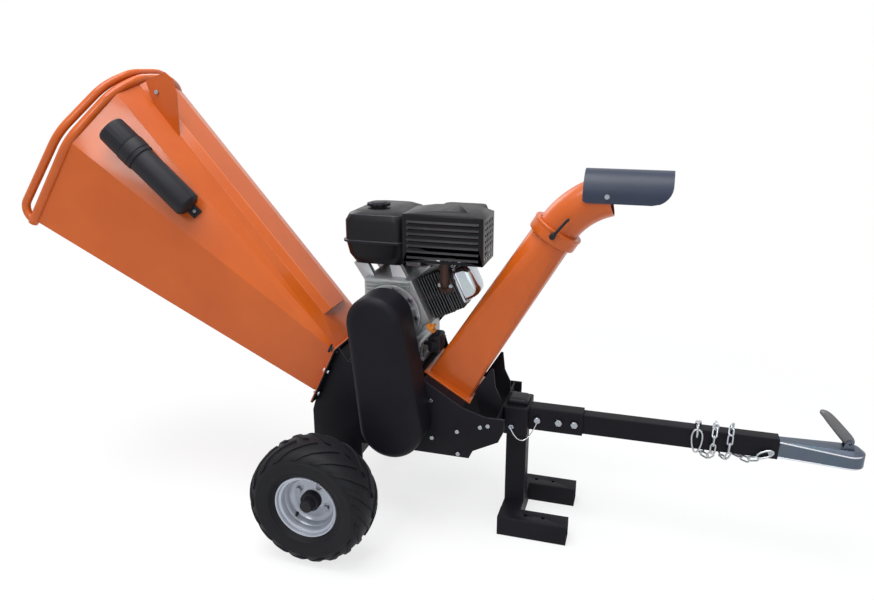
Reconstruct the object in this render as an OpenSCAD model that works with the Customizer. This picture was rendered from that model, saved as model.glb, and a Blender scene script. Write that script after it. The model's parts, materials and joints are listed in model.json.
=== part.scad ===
// Towable petrol wood chipper: feed hopper, drum rotor, discharge chute, engine, stand and tow bar.
// X runs from the hopper mouth towards the tow coupler, Y across the machine, Z up from the ground.

/* [Wheels] */
// Outside diameter of a tyre
wheel_d = 355; // [340:1:370]
// Width of a tyre
tyre_w = 145; // [135:1:150]
// Diameter over the rim flanges
rim_d = 178; // [170:1:190]
// Distance between the wheel centres
track = 720; // [700:2:760]
// Diameter of the axle stubs
axle_d = 25; // [20:1:28]
// Tread lugs on each side of a tyre
lug_count = 15; // [12:1:20]
// Height of the tread lugs
lug_h = 9; // [6:1:12]
// Side of the square axle beam
beam_w = 45; // [40:1:50]

/* [Chassis] */
// Width over the side plates
body_w = 280; // [270:2:290]
// Thickness of the side plates
plate_t = 6; // [4:1:8]
// Height of the lower edge of the side plates
body_z = 240; // [230:1:250]
// Thickness of the engine deck
deck_t = 6; // [4:1:8]
// Height of the engine feet
engine_z = 505; // [500:1:512]

/* [Rotor] */
// Rotor axis along X
rotor_x = 182; // [178:1:186]
// Rotor axis height
rotor_z = 358; // [356:1:360]
// Inner radius of the rotor housing
housing_r = 113; // [110:1:115]
// Housing sheet thickness
housing_t = 4; // [3:0.5:5]
// Radius of the rotor drum
drum_r = 80; // [76:1:84]
// Radius of the knife circle
knife_r = 100; // [97:1:102]
// Diameter of the rotor shaft
shaft_d = 35; // [30:1:40]
// Number of knives
knife_count = 2; // [1:1:3]

/* [Belt drive] */
// Crankshaft axis along X
crank_x = 140; // [136:1:144]
// Crankshaft axis height over the engine feet
crank_h = 135; // [132:1:140]
// Outside radius of the engine pulley
drive_r = 47; // [42:1:52]
// Outside radius of the rotor pulley
driven_r = 72; // [66:1:76]
// Depth of the belt guard
guard_d = 107; // [100:1:112]
// Radius of the upper end of the guard
guard_top_r = 80; // [76:1:84]
// Radius of the lower end of the guard
guard_low_r = 92; // [88:1:96]
// Guard sheet thickness
guard_t = 2.5; // [1.5:0.5:3]

/* [Hopper] */
// Half width of the mouth
mouth_hw = 250; // [230:1:260]
// Height of the straight side at the mouth
side_h = 285; // [270:1:300]
// Half width of the throat
throat_hw = 130; // [124:1:132]
// Sheet thickness of the hopper
sheet_t = 2.5; // [2:0.5:3.5]
// Half width of the roof cover
cover_hw = 50; // [44:1:56]
// Diameter of the rim tube
rim_tube_d = 26; // [22:1:30]
// Diameter of the outer guard tube
guard_tube_d = 20; // [16:1:22]
// Distance from rim tube to guard tube
guard_gap = 50; // [44:1:58]

/* [Document tube] */
// Diameter of the tube
doc_d = 72; // [64:1:76]
// Diameter of the cap
doc_cap_d = 84; // [80:1:88]
// Length of the tube without its cap
doc_l = 225; // [200:1:240]
// Length of the cap
doc_cap_l = 70; // [60:1:80]

/* [Chute] */
// Rise of the chute axis over the ground, degrees
chute_tilt = 58.5; // [57:0.5:60]
// Length of the chute from flange to swivel ring
chute_l = 516; // [500:1:530]
// Side of the square lower end
chute_w = 138; // [130:1:142]
// Outside diameter of the round upper end
chute_d = 140; // [134:1:144]
// Chute sheet thickness
chute_t = 2.5; // [2:0.5:3.5]
// Outside diameter of the elbow
elbow_d = 128; // [120:1:132]
// Bend radius of the elbow
elbow_r = 100; // [90:1:110]
// Height of the swivel collar
collar_h = 66; // [56:1:76]
// Length of the deflector
deflector_l = 227; // [200:1:240]
// Depth of the deflector sides below the pivot
deflector_drop = 24; // [18:1:30]

/* [Engine] */
// Length of the fuel tank
tank_l = 197; // [180:1:200]
// Width of the fuel tank
tank_w = 250; // [230:1:260]
// Height of the fuel tank
tank_h = 169; // [155:1:175]
// Number of cylinder fins
fin_count = 8; // [6:1:10]
// Tilt of the cylinder over the ground, degrees
cyl_tilt = 25; // [23:1:27]
// Louvres in a row on the muffler guard
louvre_count = 7; // [5:1:8]

/* [Stand and tow bar] */
// Side of the square stand leg
leg_w = 60; // [54:1:62]
// Distance between the feet
foot_gap = 210; // [200:2:220]
// Length of a foot from the leg's rear face
foot_l = 201; // [190:1:215]
// Width of the tow bar
bar_w = 40; // [38:1:44]
// Height of the tow bar
bar_h = 60; // [56:1:64]
// Tube wall of the leg, feet and tow bar
tube_t = 3.5; // [2.5:0.5:5]
// Front end of the tow bar
bar_end_x = 1212; // [1190:1:1230]
// Diameter of the anchor holes in the feet
foot_hole_d = 11; // [9:1:13]

/* [Coupler] */
// Diameter of the tow ball that the coupler takes
ball_d = 50; // [48:0.5:51]
// Distance from bar end to ball centre
ball_reach = 174; // [165:1:185]
// Wire diameter of the safety chain
chain_d = 5; // [4:0.5:5]
// Links in each hanging run of the chain
chain_links = 3; // [3:1:4]

/* [Hidden] */
$fn = 64;
run = 0.05;
gap = 0.3;
half = body_w / 2;
inner_half = half - plate_t;
crank_z = engine_z + crank_h;
wheel_z = wheel_d / 2;
// rim and tyre
bead_r = rim_d / 2 - 13;
rim_hw = 55;
rim_t = 3.5;
hub_l = 40;
// throat plane of the hopper, from its lower edge upwards
throat = [-85, 383];
throat_dir = unit([0.426, 0.905]);
throat_nrm = [throat_dir[1], -throat_dir[0]];
throat_h = 150;
flange_t = 4;
flange_w = 22;
// mouth plane of the hopper, from its lower edge upwards
mouth = [-910, 878];
mouth_dir = unit([0.573, 0.819]);
mouth_out = [-mouth_dir[1], mouth_dir[0]];
bevel_s = 445;
bevel_y = 155;
roof_s = 476;
roof_y = 75;
roof_end = [-80, 613];
// chute axis
chute_foot = [306.5, 432.5];
chute_flange_t = 5;
ca = cos(chute_tilt);
sa = sin(chute_tilt);
bend_start = chute_l + 92;
elbow_wall = 3;
spout_x = chute_foot[0] + ca * bend_start + sa * elbow_r;
spout_z = chute_foot[1] + sa * bend_start + (1 - ca) * elbow_r;
spout_l = 24;
seam = 0.15;
arc_steps = 20;
// stand, front box and tow socket
leg_x = 502;
box_x0 = leg_x - leg_w / 2 - 6;
box_x1 = leg_x + leg_w / 2 + 6;
box_hw = 57;
box_z0 = 292;
box_z1 = 375;
bar_z = 333;
socket_x1 = 692;
socket_t = 5;
socket_over = 2 * (socket_t + gap);
hitch_x = 562;
hitch_d = 12;
// coupler
ball_x = bar_end_x + ball_reach;
ball_z = bar_z;
nose_r = ball_d / 2 + 12;
nose_x = ball_x + nose_r;
rim_off = rim_tube_d / 2 + 0.2;
rear_x = mouth[0] + mouth_out[0] * (rim_off + guard_gap) - guard_tube_d / 2;
x_shift = -(nose_x + rear_x) / 2;
// engine feet on their deck, and the outline of the belt guard
engine_x0 = crank_x - 106;
engine_x1 = crank_x + 96;
engine_y0 = -92;
engine_y1 = 98;
foot_t = 12;
foot_in = 16;
foot_bolt_d = 8;
deck_x0 = engine_x0 - 14;
deck_x1 = engine_x1 + 2;
engine_c = [crank_x, crank_z + 12];
rotor_c = [rotor_x, rotor_z - 4];
guard_seat = 3;
// belts, pulleys, bearings and knives
belt_ys = [-half - 66, -half - 50];
belt_w = 11;
belt_t = 8;
crank_d = 25.4;
bearing_r = 42;
bearing_w = 28;
knife_t = 14;
knife_seat = 62;
// fasteners and the handle in the throat flange
bolt_xs = [hitch_x + 62, hitch_x + 107];
bolt_d = 8;
throat_bolt_s = [12, 92];
throat_bolt_y = half + flange_w / 2;
handle_s = throat_h + 13;
handle_y = half + 8;
handle_d = 8;
// roof cover and the line of the two mouth tubes
roof_start = mouth + mouth_dir * roof_s;
ridge_l = norm(roof_end - roof_start);
ridge_a = atan2(roof_start[1] - roof_end[1], roof_end[0] - roof_start[0]);
cover_h = 18;
ear_bolt = [-576, 1247];
plate_bolts = [[273, 409], [276, 292], [351, 322], [354, 252], [418, 345], [440, 352]];
ear_t = 4;
tube_path = [[0, -mouth_hw], [side_h, -mouth_hw], [bevel_s, -bevel_y], [roof_s + 10, -roof_y + 10],
  [roof_s + 10, roof_y - 10], [bevel_s, bevel_y], [side_h, mouth_hw], [0, mouth_hw]];
// document tube on the near bevel
bevel = concat([for (i = [1, 2]) ring_mouth(0, 0)[i]], [for (i = [1, 2]) ring_hood(0)[i]]);
doc_out = unit(cross(bevel[2] - bevel[0], bevel[1] - bevel[0]));
doc_dir = across_of(mix(bevel[2] - bevel[0], bevel[3] - bevel[1], 0.6), doc_out);
doc_rise = doc_cap_d / 2 + 1;
doc_start = mix(bevel[0], bevel[1], 0.57) + doc_dir * 66 + doc_out * doc_rise;
doc_tab_x = doc_cap_l + doc_l + 18;
doc_tab_t = 5;
doc_bolt_d = 6;
// swivel collar, clamp lever and deflector pivot
collar_d = chute_d + 12;
lip_h = 5;
lip_r = elbow_d / 2 + 6;
lever_d = 10;
lever_z = chute_l + 22;
pivot_d = 10;
pivot_x = spout_x + pivot_d;
deflector_back = 57;
// crankcase, oil filler and cylinder
case_r = 96;
pad_h = 100;
cover_r = 88;
neck_c = [crank_x + 80, engine_y0 - 12, crank_z - 75];
neck_l = 60;
neck_d = 26;
neck_tilt = 42;
barrel_l = 70;
fin_hw = 62;
head_x = case_r + barrel_l;
head_l = 38;
port_at = [cos(cyl_tilt), sin(cyl_tilt)] * (head_x + 13) + [-sin(cyl_tilt), cos(cyl_tilt)] * 18;
rocker_l = 50;
// silencer and its guard
muff_lead = 56;
muff_l = 202;
muff_rise = 175;
muff_h = 113;
muff_x0 = crank_x + muff_lead;
muff_x1 = muff_x0 + muff_l;
muff_y0 = -102;
muff_y1 = 8;
muff_z0 = crank_z + muff_rise;
muff_z1 = muff_z0 + muff_h;
guard_off = 10;
heat_t = 2;
heat_x0 = muff_x0 - guard_off - heat_t;
heat_x1 = muff_x1 + guard_off + heat_t;
heat_y0 = muff_y0 - guard_off - heat_t;
heat_y1 = muff_y1 + 12;
heat_z0 = muff_z0 - guard_off - heat_t;
heat_z1 = muff_z1 + guard_off + heat_t + 8;
// fuel tank
tank_x0 = heat_x0 - 3 - tank_l;
tank_y0 = -80;
tank_z0 = crank_z + pad_h + 34;
tank_foot = 26;
cap_c = [tank_x0 + 84, tank_y0 + 96];
// carburettor, air cleaner, starter and switch box
carb_lead = 132;
carb_rise = 64;
carb_h = 96;
carb_x = crank_x + carb_lead;
carb_z0 = crank_z + carb_rise;
carb_z1 = carb_z0 + carb_h;
carb_y1 = 136;
air_lead = 76;
air_l = 184;
air_h = 152;
air_y = [64, 190];
lever_zs = [carb_z0 + 42, carb_z0 + 76];
lever_pin_d = 6;
recoil_y0 = engine_y1 - 4;
recoil_d = 70;
throttle_c = [crank_x + 86, crank_z + 62];
box_c = [engine_x1 + 12, -62, engine_z + 30];
box_w = 36;
box_d = 56;
box_h = 50;
switch_d = 10;
// stand feet, coupler tail and lever
foot_holes = [leg_x + 48, leg_x + 100];
tail_w = bar_w - 2 * tube_t - 1;
tail_h = bar_h - 14;
tail_l = 70;
tail_bolt = [bar_end_x - 18, bar_z - 10];
tail_bolt_d = 10;
clamp_hw = 10;
lever_x = ball_x - 6;
lever_hw = 10;
lever_pz = ball_z + 40;
lever_pivot_d = 8;

ORANGE = [0.80, 0.36, 0.16];
BLACK = [0.09, 0.09, 0.10];
STEEL = [0.72, 0.73, 0.75];
ALU = [0.66, 0.67, 0.68];

function unit(v) = v / norm(v);
function mix(a, b, k) = a * (1 - k) + b * k;
function xz(p, y) = [p[0], y, p[1]];
function mouth_at(s, y) = xz(mouth + mouth_dir * s, y);
function throat_at(s, y) = xz(throat + throat_dir * s, y);
function flip(p) = [p[0], -p[1], p[2]];
function chute_at(d, side) = chute_foot + [ca, sa] * d + [sa, -ca] * side;

module place() {
  translate([x_shift, 0, 0])
    children();
}

module both_sides() {
  children();
  mirror([0, 1, 0])
    children();
}

// a flat outline in X and Z, given thickness along Y from y0 to y1
module across(y0, y1) {
  translate([0, y1, 0])
    rotate([90, 0, 0])
      linear_extrude(y1 - y0)
        children();
}

module round_rect(x0, x1, y0, y1, r) {
  translate([x0 + r, y0])
    square([x1 - x0 - 2 * r, y1 - y0]);
  translate([x0, y0 + r])
    square([x1 - x0, y1 - y0 - 2 * r]);
  for (x = [x0 + r, x1 - r], y = [y0 + r, y1 - r])
    translate([x, y])
      circle(r);
}

function arc(c, r, a0, a1) = [for (i = [0:arc_steps]) let (a = a0 + (a1 - a0) * i / arc_steps)
  c + [cos(a), sin(a)] * r];

// two round ends joined by their outer tangents
module capsule(a, ra, b, rb) {
  d = b - a;
  lie = atan2(d[1], d[0]);
  reach = acos((ra - rb) / norm(d));
  polygon(concat(arc(b, rb, lie - reach, lie + reach), arc(a, ra, lie + reach, lie + 360 - reach)));
}

module rod(a, b, r) {
  d = b - a;
  translate(a)
    rotate([0, acos(d[2] / norm(d)), atan2(d[1], d[0])])
      cylinder(h = norm(d), r = r);
}

// points and directions along a path whose inner corners are rounded by the bend radius
function corner(p, d1, d2, bend, steps) = let (turn = acos(d1 * d2),
  c = p + unit(d2 - d1) * bend / cos(turn / 2),
  x = unit(p - d1 * bend * tan(turn / 2) - c))
  [for (k = [0:steps]) let (a = turn * k / steps)
    [c + (x * cos(a) + d1 * sin(a)) * bend, d1 * cos(a) - x * sin(a)]];
function bar_path(p, bend, steps) = let (n = len(p), d = [for (i = [0:n - 2]) unit(p[i + 1] - p[i])])
  concat([[p[0], d[0]]], [for (i = [1:n - 2]) each corner(p[i], d[i - 1], d[i], bend, steps)],
    [[p[n - 1], d[n - 2]]]);
function across_of(v, t) = unit(v - t * (v * t));

// rings of points round a path, turned as little as possible from one to the next
function bar_rings(path, r, sides) = let (n = len(path), first = across_of([0.31, 0.83, 0.47], path[0][1]),
  turn = [for (i = 0, v = first; i < n; i = i + 1, v = i < n ? across_of(v, path[i][1]) : v) v])
  [for (i = [0:n - 1], k = [0:sides - 1]) let (a = k * 360 / sides, w = cross(path[i][1], turn[i]))
    path[i][0] + (turn[i] * cos(a) + w * sin(a)) * r];
function bar_walls(n, sides) = [for (i = [0:n - 2], k = [0:sides - 1])
  let (a = i * sides + k, b = i * sides + (k + 1) % sides)
    each [[a, a + sides, b], [b, a + sides, b + sides]]];

// a round bar along a list of points, bent at each inner point
module bent_bar(pts, bend, r, sides = 20, steps = 4) {
  path = bar_path(pts, bend, steps);
  n = len(path);
  z = (n - 1) * sides;
  ends = [for (k = [1:sides - 2]) each [[0, k, k + 1], [z, z + k + 1, z + k]]];
  polyhedron(bar_rings(path, r, sides), concat(bar_walls(n, sides), ends), convexity = 6);
}

// hexagon bolt head with its shank, pointing along +Z from the seat
module bolt(d, shank) {
  cylinder(d = d * 1.75, h = d * 0.65, $fn = 6);
  translate([0, 0, -shank])
    cylinder(d = d, h = shank);
}

// a box section along X
module box_x(x0, x1, w, h, t) {
  translate([x0, 0, 0])
    rotate([90, 0, 90])
      linear_extrude(x1 - x0)
        difference() {
          round_rect(-w / 2, w / 2, -h / 2, h / 2, t);
          square([w - 2 * t, h - 2 * t], center = true);
        }
}

// Wheels

module wheel_at(side) {
  place()
    translate([0, side * track / 2, wheel_z])
      rotate([-90 * side, 0, 0])
        children();
}

module tyre() {
  carcass_r = wheel_d / 2 - lug_h;
  wall = 9;
  shoulder = 34;
  bulge_r = rim_d / 2 + 4;
  difference() {
    union() {
      rotate_extrude($fn = 96) {
        round_rect(bulge_r, carcass_r, -tyre_w / 2, tyre_w / 2, shoulder);
        translate([bead_r, -rim_hw + rim_t + gap])
          square([bulge_r + shoulder - bead_r, 2 * (rim_hw - rim_t - gap)]);
      }
      intersection() {
        rotate_extrude($fn = 96)
          round_rect(bulge_r, wheel_d / 2, -tyre_w / 2, tyre_w / 2, shoulder);
        for (s = [-1, 1], i = [0:lug_count - 1])
          rotate([0, 0, (i + (s > 0 ? 0.5 : 0)) * 360 / lug_count])
            translate([carcass_r - 26, 0, s * tyre_w / 4])
              rotate([s * 32, 0, 0])
                translate([0, -9, -tyre_w * 0.27])
                  cube([lug_h + 30, 18, tyre_w * 0.54]);
      }
    }
    rotate_extrude($fn = 96) {
      round_rect(bulge_r + 6, carcass_r - wall, -tyre_w / 2 + wall, tyre_w / 2 - wall, shoulder - wall);
      translate([bead_r - 1, -rim_hw + wall + rim_t])
        square([bulge_r + shoulder - bead_r, 2 * (rim_hw - wall - rim_t)]);
    }
  }
}

module rim() {
  barrel_r = bead_r - gap;
  step_r = barrel_r - 14;
  dish_r = step_r - 8;
  hub_r = axle_d / 2 + 8;
  rotate_extrude($fn = 96) {
    translate([barrel_r - rim_t, -rim_hw])
      square([rim_t, 2 * rim_hw]);
    for (y = [-rim_hw, rim_hw - rim_t])
      translate([barrel_r - rim_t, y])
        square([rim_d / 2 - barrel_r + rim_t, rim_t]);
    polygon([[barrel_r, 50], [step_r - 2, 50], [dish_r - 2, 26], [axle_d / 2 + run, 26],
      [axle_d / 2 + run, 22], [dish_r, 22], [step_r, 46], [barrel_r, 46]]);
    translate([axle_d / 2 + run, -rim_hw + 5])
      square([hub_r - axle_d / 2 - run, hub_l + rim_hw - 5]);
  }
}

module hub_cap() {
  cap_r = 27;
  cap_h = 18;
  wall = 4;
  translate([0, 0, hub_l])
    rotate_extrude() {
      translate([axle_d / 2 + 4, 0])
        square([cap_r - axle_d / 2 - 4, cap_h - wall]);
      translate([0, cap_h - wall])
        square([cap_r - wall, wall]);
      intersection() {
        translate([cap_r - wall, cap_h - wall])
          circle(wall);
        square([cap_r, cap_h]);
      }
    }
}

module near_tyre() {
  color(BLACK)
    wheel_at(-1)
      tyre();
}

module near_rim() {
  color(STEEL)
    wheel_at(-1)
      rim();
}

module near_hub_cap() {
  color(BLACK)
    wheel_at(-1)
      hub_cap();
}

module far_tyre() {
  color(BLACK)
    wheel_at(1)
      tyre();
}

module far_rim() {
  color(STEEL)
    wheel_at(1)
      rim();
}

module far_hub_cap() {
  color(BLACK)
    wheel_at(1)
      hub_cap();
}

// square beam through both side plates, with a round stub and shoulder at each end
module axle() {
  beam_end = track / 2 - rim_hw - 8;
  stub_end = track / 2 + hub_l + 6;
  color(BLACK)
    place()
      translate([0, 0, wheel_z]) {
        translate([-beam_w / 2, -beam_end, -beam_w / 2])
          cube([beam_w, 2 * beam_end, beam_w]);
        rotate([90, 0, 0])
          cylinder(d = axle_d, h = 2 * stub_end, center = true);
        rotate([90, 0, 0])
          cylinder(d = axle_d + 12, h = 2 * (track / 2 - rim_hw + 5 - gap), center = true);
      }
}

// Chassis and rotor housing

module plate_outline() {
  front = box_x0 + 20;
  plate_back = -100;
  hanger_w = 55;
  flange_low = throat - throat_dir * flange_w + throat_nrm * flange_t;
  flange_top = throat + throat_dir * (throat_h + flange_w) + throat_nrm * flange_t;
  difference() {
    polygon([[plate_back, body_z], [plate_back, 330], flange_low, flange_top, [deck_x0, engine_z - deck_t],
      [deck_x1, engine_z - deck_t], chute_at(0, -chute_w / 2), chute_at(0, chute_w / 2), [430, box_z1 + 1],
      [front, box_z1 + 1], [front, 340], [470, 303], [397, 265], [385, body_z], [hanger_w, body_z],
      [hanger_w, wheel_z - beam_w / 2 - 6], [-hanger_w, wheel_z - beam_w / 2 - 6], [-hanger_w, body_z]]);
    translate([rotor_x, rotor_z])
      circle(shaft_d / 2 + 8);
    translate([-beam_w / 2 - gap, wheel_z - beam_w / 2 - gap])
      square(beam_w + 2 * gap);
  }
}

module side_plates() {
  color(BLACK)
    place()
      both_sides()
        across(-half, -inner_half)
          plate_outline();
}

// a ring sector about the rotor axis
module rotor_arc(r, t, a0, a1) {
  translate([rotor_x, rotor_z])
    difference() {
      circle(r + t, $fn = 128);
      circle(r, $fn = 128);
      far = 3 * r;
      polygon(concat([[0, 0]], [for (i = [0:8]) let (a = a1 + (360 - a1 + a0) * i / 8)
        [cos(a), sin(a)] * far]));
    }
}

function on_arc(r, a) = [rotor_x, rotor_z] + [cos(a), sin(a)] * r;

// drum casing with its feed floor and roof, and the flange plates for hopper and chute
module housing_shell() {
  out_r = housing_r + housing_t;
  floor_a = 236;
  front_a = 352;
  roof_a = 142;
  lip_a = 58;
  foot = chute_at(-flange_t, chute_w / 2);
  back = chute_at(-flange_t, -chute_w / 2);
  floor_p = throat + throat_dir * 0.5;
  roof_p = throat + throat_dir * (throat_h - housing_t);
  color(BLACK)
    place() {
      across(-inner_half, inner_half) {
        rotor_arc(housing_r, housing_t, floor_a, front_a);
        rotor_arc(housing_r, housing_t, lip_a, roof_a);
        polygon([floor_p, floor_p + throat_dir * housing_t,
          on_arc(housing_r, floor_a), on_arc(out_r, floor_a)]);
        polygon([roof_p, roof_p + throat_dir * housing_t,
          on_arc(out_r, roof_a), on_arc(housing_r, roof_a)]);
        polygon([on_arc(housing_r, front_a), on_arc(out_r, front_a), foot, foot - [sa, -ca] * housing_t]);
        polygon([on_arc(housing_r, lip_a), on_arc(out_r, lip_a), back, back + [sa, -ca] * housing_t]);
      }
      outlet_flange();
      inlet_flange();
    }
}

module outlet_flange() {
  translate(xz(chute_foot, 0))
    rotate([0, 90 - chute_tilt, 0])
      translate([0, 0, -flange_t])
        linear_extrude(flange_t)
          difference() {
            square([chute_w, 2 * inner_half], center = true);
            square([chute_w - 2 * housing_t, chute_w], center = true);
          }
}

// frame in the throat plane; the lower edge lies on the throat point
module throat_frame(inside, outside) {
  translate(xz(throat, 0))
    rotate([0, 90 - atan2(throat_dir[1], throat_dir[0]), 0])
      rotate([0, 0, 90])
        rotate([90, 0, 0])
          linear_extrude(flange_t)
            difference() {
              translate([-outside, -flange_w])
                square([2 * outside, throat_h + 2 * flange_w]);
              translate([-inside, 0])
                square([2 * inside, throat_h]);
            }
}

module inlet_flange() {
  difference() {
    throat_frame(inner_half - gap, half + flange_w);
    throat_bolt_holes();
  }
}

module at_engine_feet() {
  for (x = [engine_x0 + foot_in, engine_x1 - foot_in], y = [engine_y0 + foot_in, engine_y1 - foot_in])
    translate([x, y, engine_z])
      children();
}

module engine_deck() {
  color(BLACK)
    place()
      difference() {
        translate([deck_x0, -half, engine_z - deck_t])
          cube([deck_x1 - deck_x0, body_w, deck_t]);
        at_engine_feet()
          translate([0, 0, -deck_t - 1])
            cylinder(d = foot_bolt_d + 2, h = deck_t + 2);
      }
}

// leg sleeve with its cross plate, the tow socket and two gussets that tie it to the chute
module front_box() {
  edge = 8;
  gusset_y = chute_w / 2 - 3;
  chute_side = chute_w / 2 + 4;
  plate_x = box_x0 - flange_t;
  color(BLACK)
    place() {
      difference() {
        union() {
          translate([0, 0, box_z0])
            linear_extrude(box_z1 - box_z0)
              round_rect(box_x0, box_x1, -box_hw, box_hw, edge);
          translate([plate_x, -inner_half, 305])
            cube([flange_t, 2 * inner_half, box_z1 - 305]);
          translate([0, 0, bar_z])
            box_x(box_x1 - 1, socket_x1, bar_w + socket_over, bar_h + socket_over, socket_t);
          both_sides()
            across(-gusset_y - plate_t, -gusset_y)
              polygon([[plate_x + 1, box_z1 - 60], [plate_x - 62, box_z1 - 20], chute_at(30, chute_side),
                chute_at(118, chute_side), chute_at(118, chute_side) + [7, 0], [plate_x - 18, box_z1 + 66],
                [plate_x + 1, box_z1 + 27]]);
        }
        translate([leg_x, 0, (box_z0 + box_z1) / 2])
          cube([leg_w + 2 * gap, leg_w + 2 * gap, box_z1], center = true);
        for (x = [hitch_x, bolt_xs[0], bolt_xs[1]])
          translate([x, 0, bar_z])
            rotate([90, 0, 0])
              cylinder(d = hitch_d + 2 * run, h = 2 * half, center = true);
      }
    }
}

// Belt drive

module guard_outline(off) {
  capsule(engine_c, guard_top_r + off, rotor_c, guard_low_r + off);
}

// deep-drawn cover: full outline at the back, rounded over to the front face
module belt_guard() {
  back = -half - guard_seat;
  front = back - guard_d;
  soft = 9;
  color(BLACK)
    place()
      difference() {
        hull($fn = 32) {
          across(front + soft, back)
            guard_outline(0);
          across(front + soft * 0.3, back)
            guard_outline(-soft * 0.3);
          across(front, back)
            guard_outline(-soft);
        }
        across(front + soft, back + 1)
          guard_outline(-guard_t);
        across(front + guard_t, back + 1)
          guard_outline(-guard_t - soft / 2);
      }
}

module guard_back() {
  color(BLACK)
    place()
      across(-half - guard_seat, -half)
        difference() {
          guard_outline(0);
          translate([rotor_x, rotor_z])
            circle(bearing_r + 1);
          translate([crank_x, crank_z])
            circle(crank_d / 2 + 9);
        }
}

module v_belts() {
  color(BLACK)
    place()
      for (y = belt_ys)
        across(y - belt_w / 2 + 0.5, y + belt_w / 2 - 0.5)
          difference() {
            capsule([crank_x, crank_z], drive_r, [rotor_x, rotor_z], driven_r);
            capsule([crank_x, crank_z], drive_r - belt_t, [rotor_x, rotor_z], driven_r - belt_t);
          }
}

module pulley(r, bore) {
  groove = r - belt_t - gap;
  rotate([90, 0, 0])
    difference() {
      translate([0, 0, half + 40])
        cylinder(r = r + 1, h = 36);
      for (y = belt_ys)
        translate([0, 0, -y - belt_w / 2])
          difference() {
            cylinder(r = r + 2, h = belt_w);
            cylinder(r = groove, h = belt_w);
          }
      cylinder(d = bore, h = 3 * half);
    }
}

module drive_pulley() {
  color(STEEL)
    place()
      translate([crank_x, 0, crank_z])
        pulley(drive_r, crank_d);
}

module rotor_pulley() {
  color(STEEL)
    place()
      translate([rotor_x, 0, rotor_z])
        pulley(driven_r, shaft_d);
}

module bearings() {
  color(BLACK)
    place()
      both_sides()
        translate([rotor_x, -half, rotor_z])
          rotate([90, 0, 0])
            difference() {
              union() {
                cylinder(r = bearing_r, h = bearing_w * 0.5);
                cylinder(r = bearing_r - 10, h = bearing_w);
              }
              translate([0, 0, -1])
                cylinder(d = shaft_d + 2 * run, h = bearing_w + 2);
            }
}

module rotor_shaft() {
  color(STEEL)
    place()
      translate([rotor_x, half + bearing_w + 4, rotor_z])
        rotate([90, 0, 0])
          cylinder(d = shaft_d, h = body_w + bearing_w + 4 + 82);
}

module drum_shape() {
  difference() {
    circle(drum_r, $fn = 96);
    for (i = [0:knife_count - 1])
      rotate(i * 360 / knife_count + 45)
        translate([knife_seat, -1])
          square([knife_r, 60]);
    circle(d = shaft_d);
  }
}

module rotor_drum() {
  drum_hl = inner_half - 4;
  color(STEEL)
    place()
      translate([rotor_x, 0, rotor_z])
        across(-drum_hl, drum_hl)
          drum_shape();
}

// square-edged knives bolted on the flats of the drum, ground to a bevel
module knives() {
  knife_hl = inner_half - 6;
  color(STEEL)
    place()
      translate([rotor_x, 0, rotor_z])
        across(-knife_hl, knife_hl)
          for (i = [0:knife_count - 1])
            rotate(i * 360 / knife_count + 45)
              translate([knife_seat, 0])
                polygon([[0, 0], [knife_r - knife_seat - 1, 0],
                  [knife_r - knife_seat - 10, knife_t], [0, knife_t]]);
}

module counter_knife() {
  a = 214;
  color(STEEL)
    place()
      across(-inner_half + gap, inner_half - gap)
        polygon([on_arc(knife_r + 2, a), on_arc(housing_r - gap, a - 3), on_arc(housing_r - gap, a + 12),
          on_arc(knife_r + 3, a + 9)]);
}

// Hopper

function ring_mouth(t, out) = let (o = xz(mouth_out * out, 0))
  [mouth_at(t, -mouth_hw + t) + o, mouth_at(side_h, -mouth_hw + t) + o,
    mouth_at(bevel_s - t, -bevel_y + t * 0.6) + o, mouth_at(roof_s - t, -roof_y) + o];
function ring_throat(t, out) = let (o = xz(throat_nrm * out, 0), w = throat_hw)
  [throat_at(t, -w + t) + o, throat_at(throat_h - t, -w + t) + o, throat_at(throat_h - t, -w + 12) + o,
    throat_at(throat_h - t, -roof_y) + o];
function ring_hood(t) = let (m = ring_mouth(t, 0), e = ring_throat(t, 0), k = 0.93)
  [mix(m[0], e[0], k), mix(m[1], e[1], k), mix(m[2], e[2], k) + [0, 0, 8],
    [roof_end[0], -roof_y, roof_end[1] - t]];
function full_ring(r) = concat(r, [for (i = [3:-1:0]) flip(r[i])]);

// loft through three rings of eight points
module hopper_loft(t, out, lap) {
  rings = [full_ring(ring_mouth(t, out)), full_ring(ring_hood(t)), full_ring(ring_throat(t, lap))];
  pts = [for (r = rings) each r];
  n = 8;
  walls = [for (k = [0:1], i = [0:n - 1]) let (a = k * n + i, b = k * n + (i + 1) % n)
    each [[a, b, a + n], [b, b + n, a + n]]];
  front = [for (i = [1:n - 2]) [0, i + 1, i]];
  back = [for (i = [1:n - 2]) [2 * n, 2 * n + i, 2 * n + i + 1]];
  polyhedron(concat(pts), concat(walls, front, back), convexity = 4);
}

// frame along the throat plane: x across, y up the throat, z towards the hopper
module at_throat() {
  translate(xz(throat, 0))
    multmatrix([[0, throat_dir[0], -throat_nrm[0], 0], [-1, 0, 0, 0],
      [0, throat_dir[1], -throat_nrm[1], 0]])
      children();
}

module throat_bolt_holes() {
  at_throat()
    translate([0, 0, -2 * flange_t]) {
      for (x = [-throat_bolt_y, throat_bolt_y], y = throat_bolt_s)
        translate([x, y, 0])
          cylinder(d = bolt_d + 2 * gap, h = 4 * flange_t, $fn = 32);
      translate([handle_y, handle_s, 0])
        cylinder(d = handle_d + 2 * run, h = 4 * flange_t, $fn = 32);
    }
}

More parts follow.
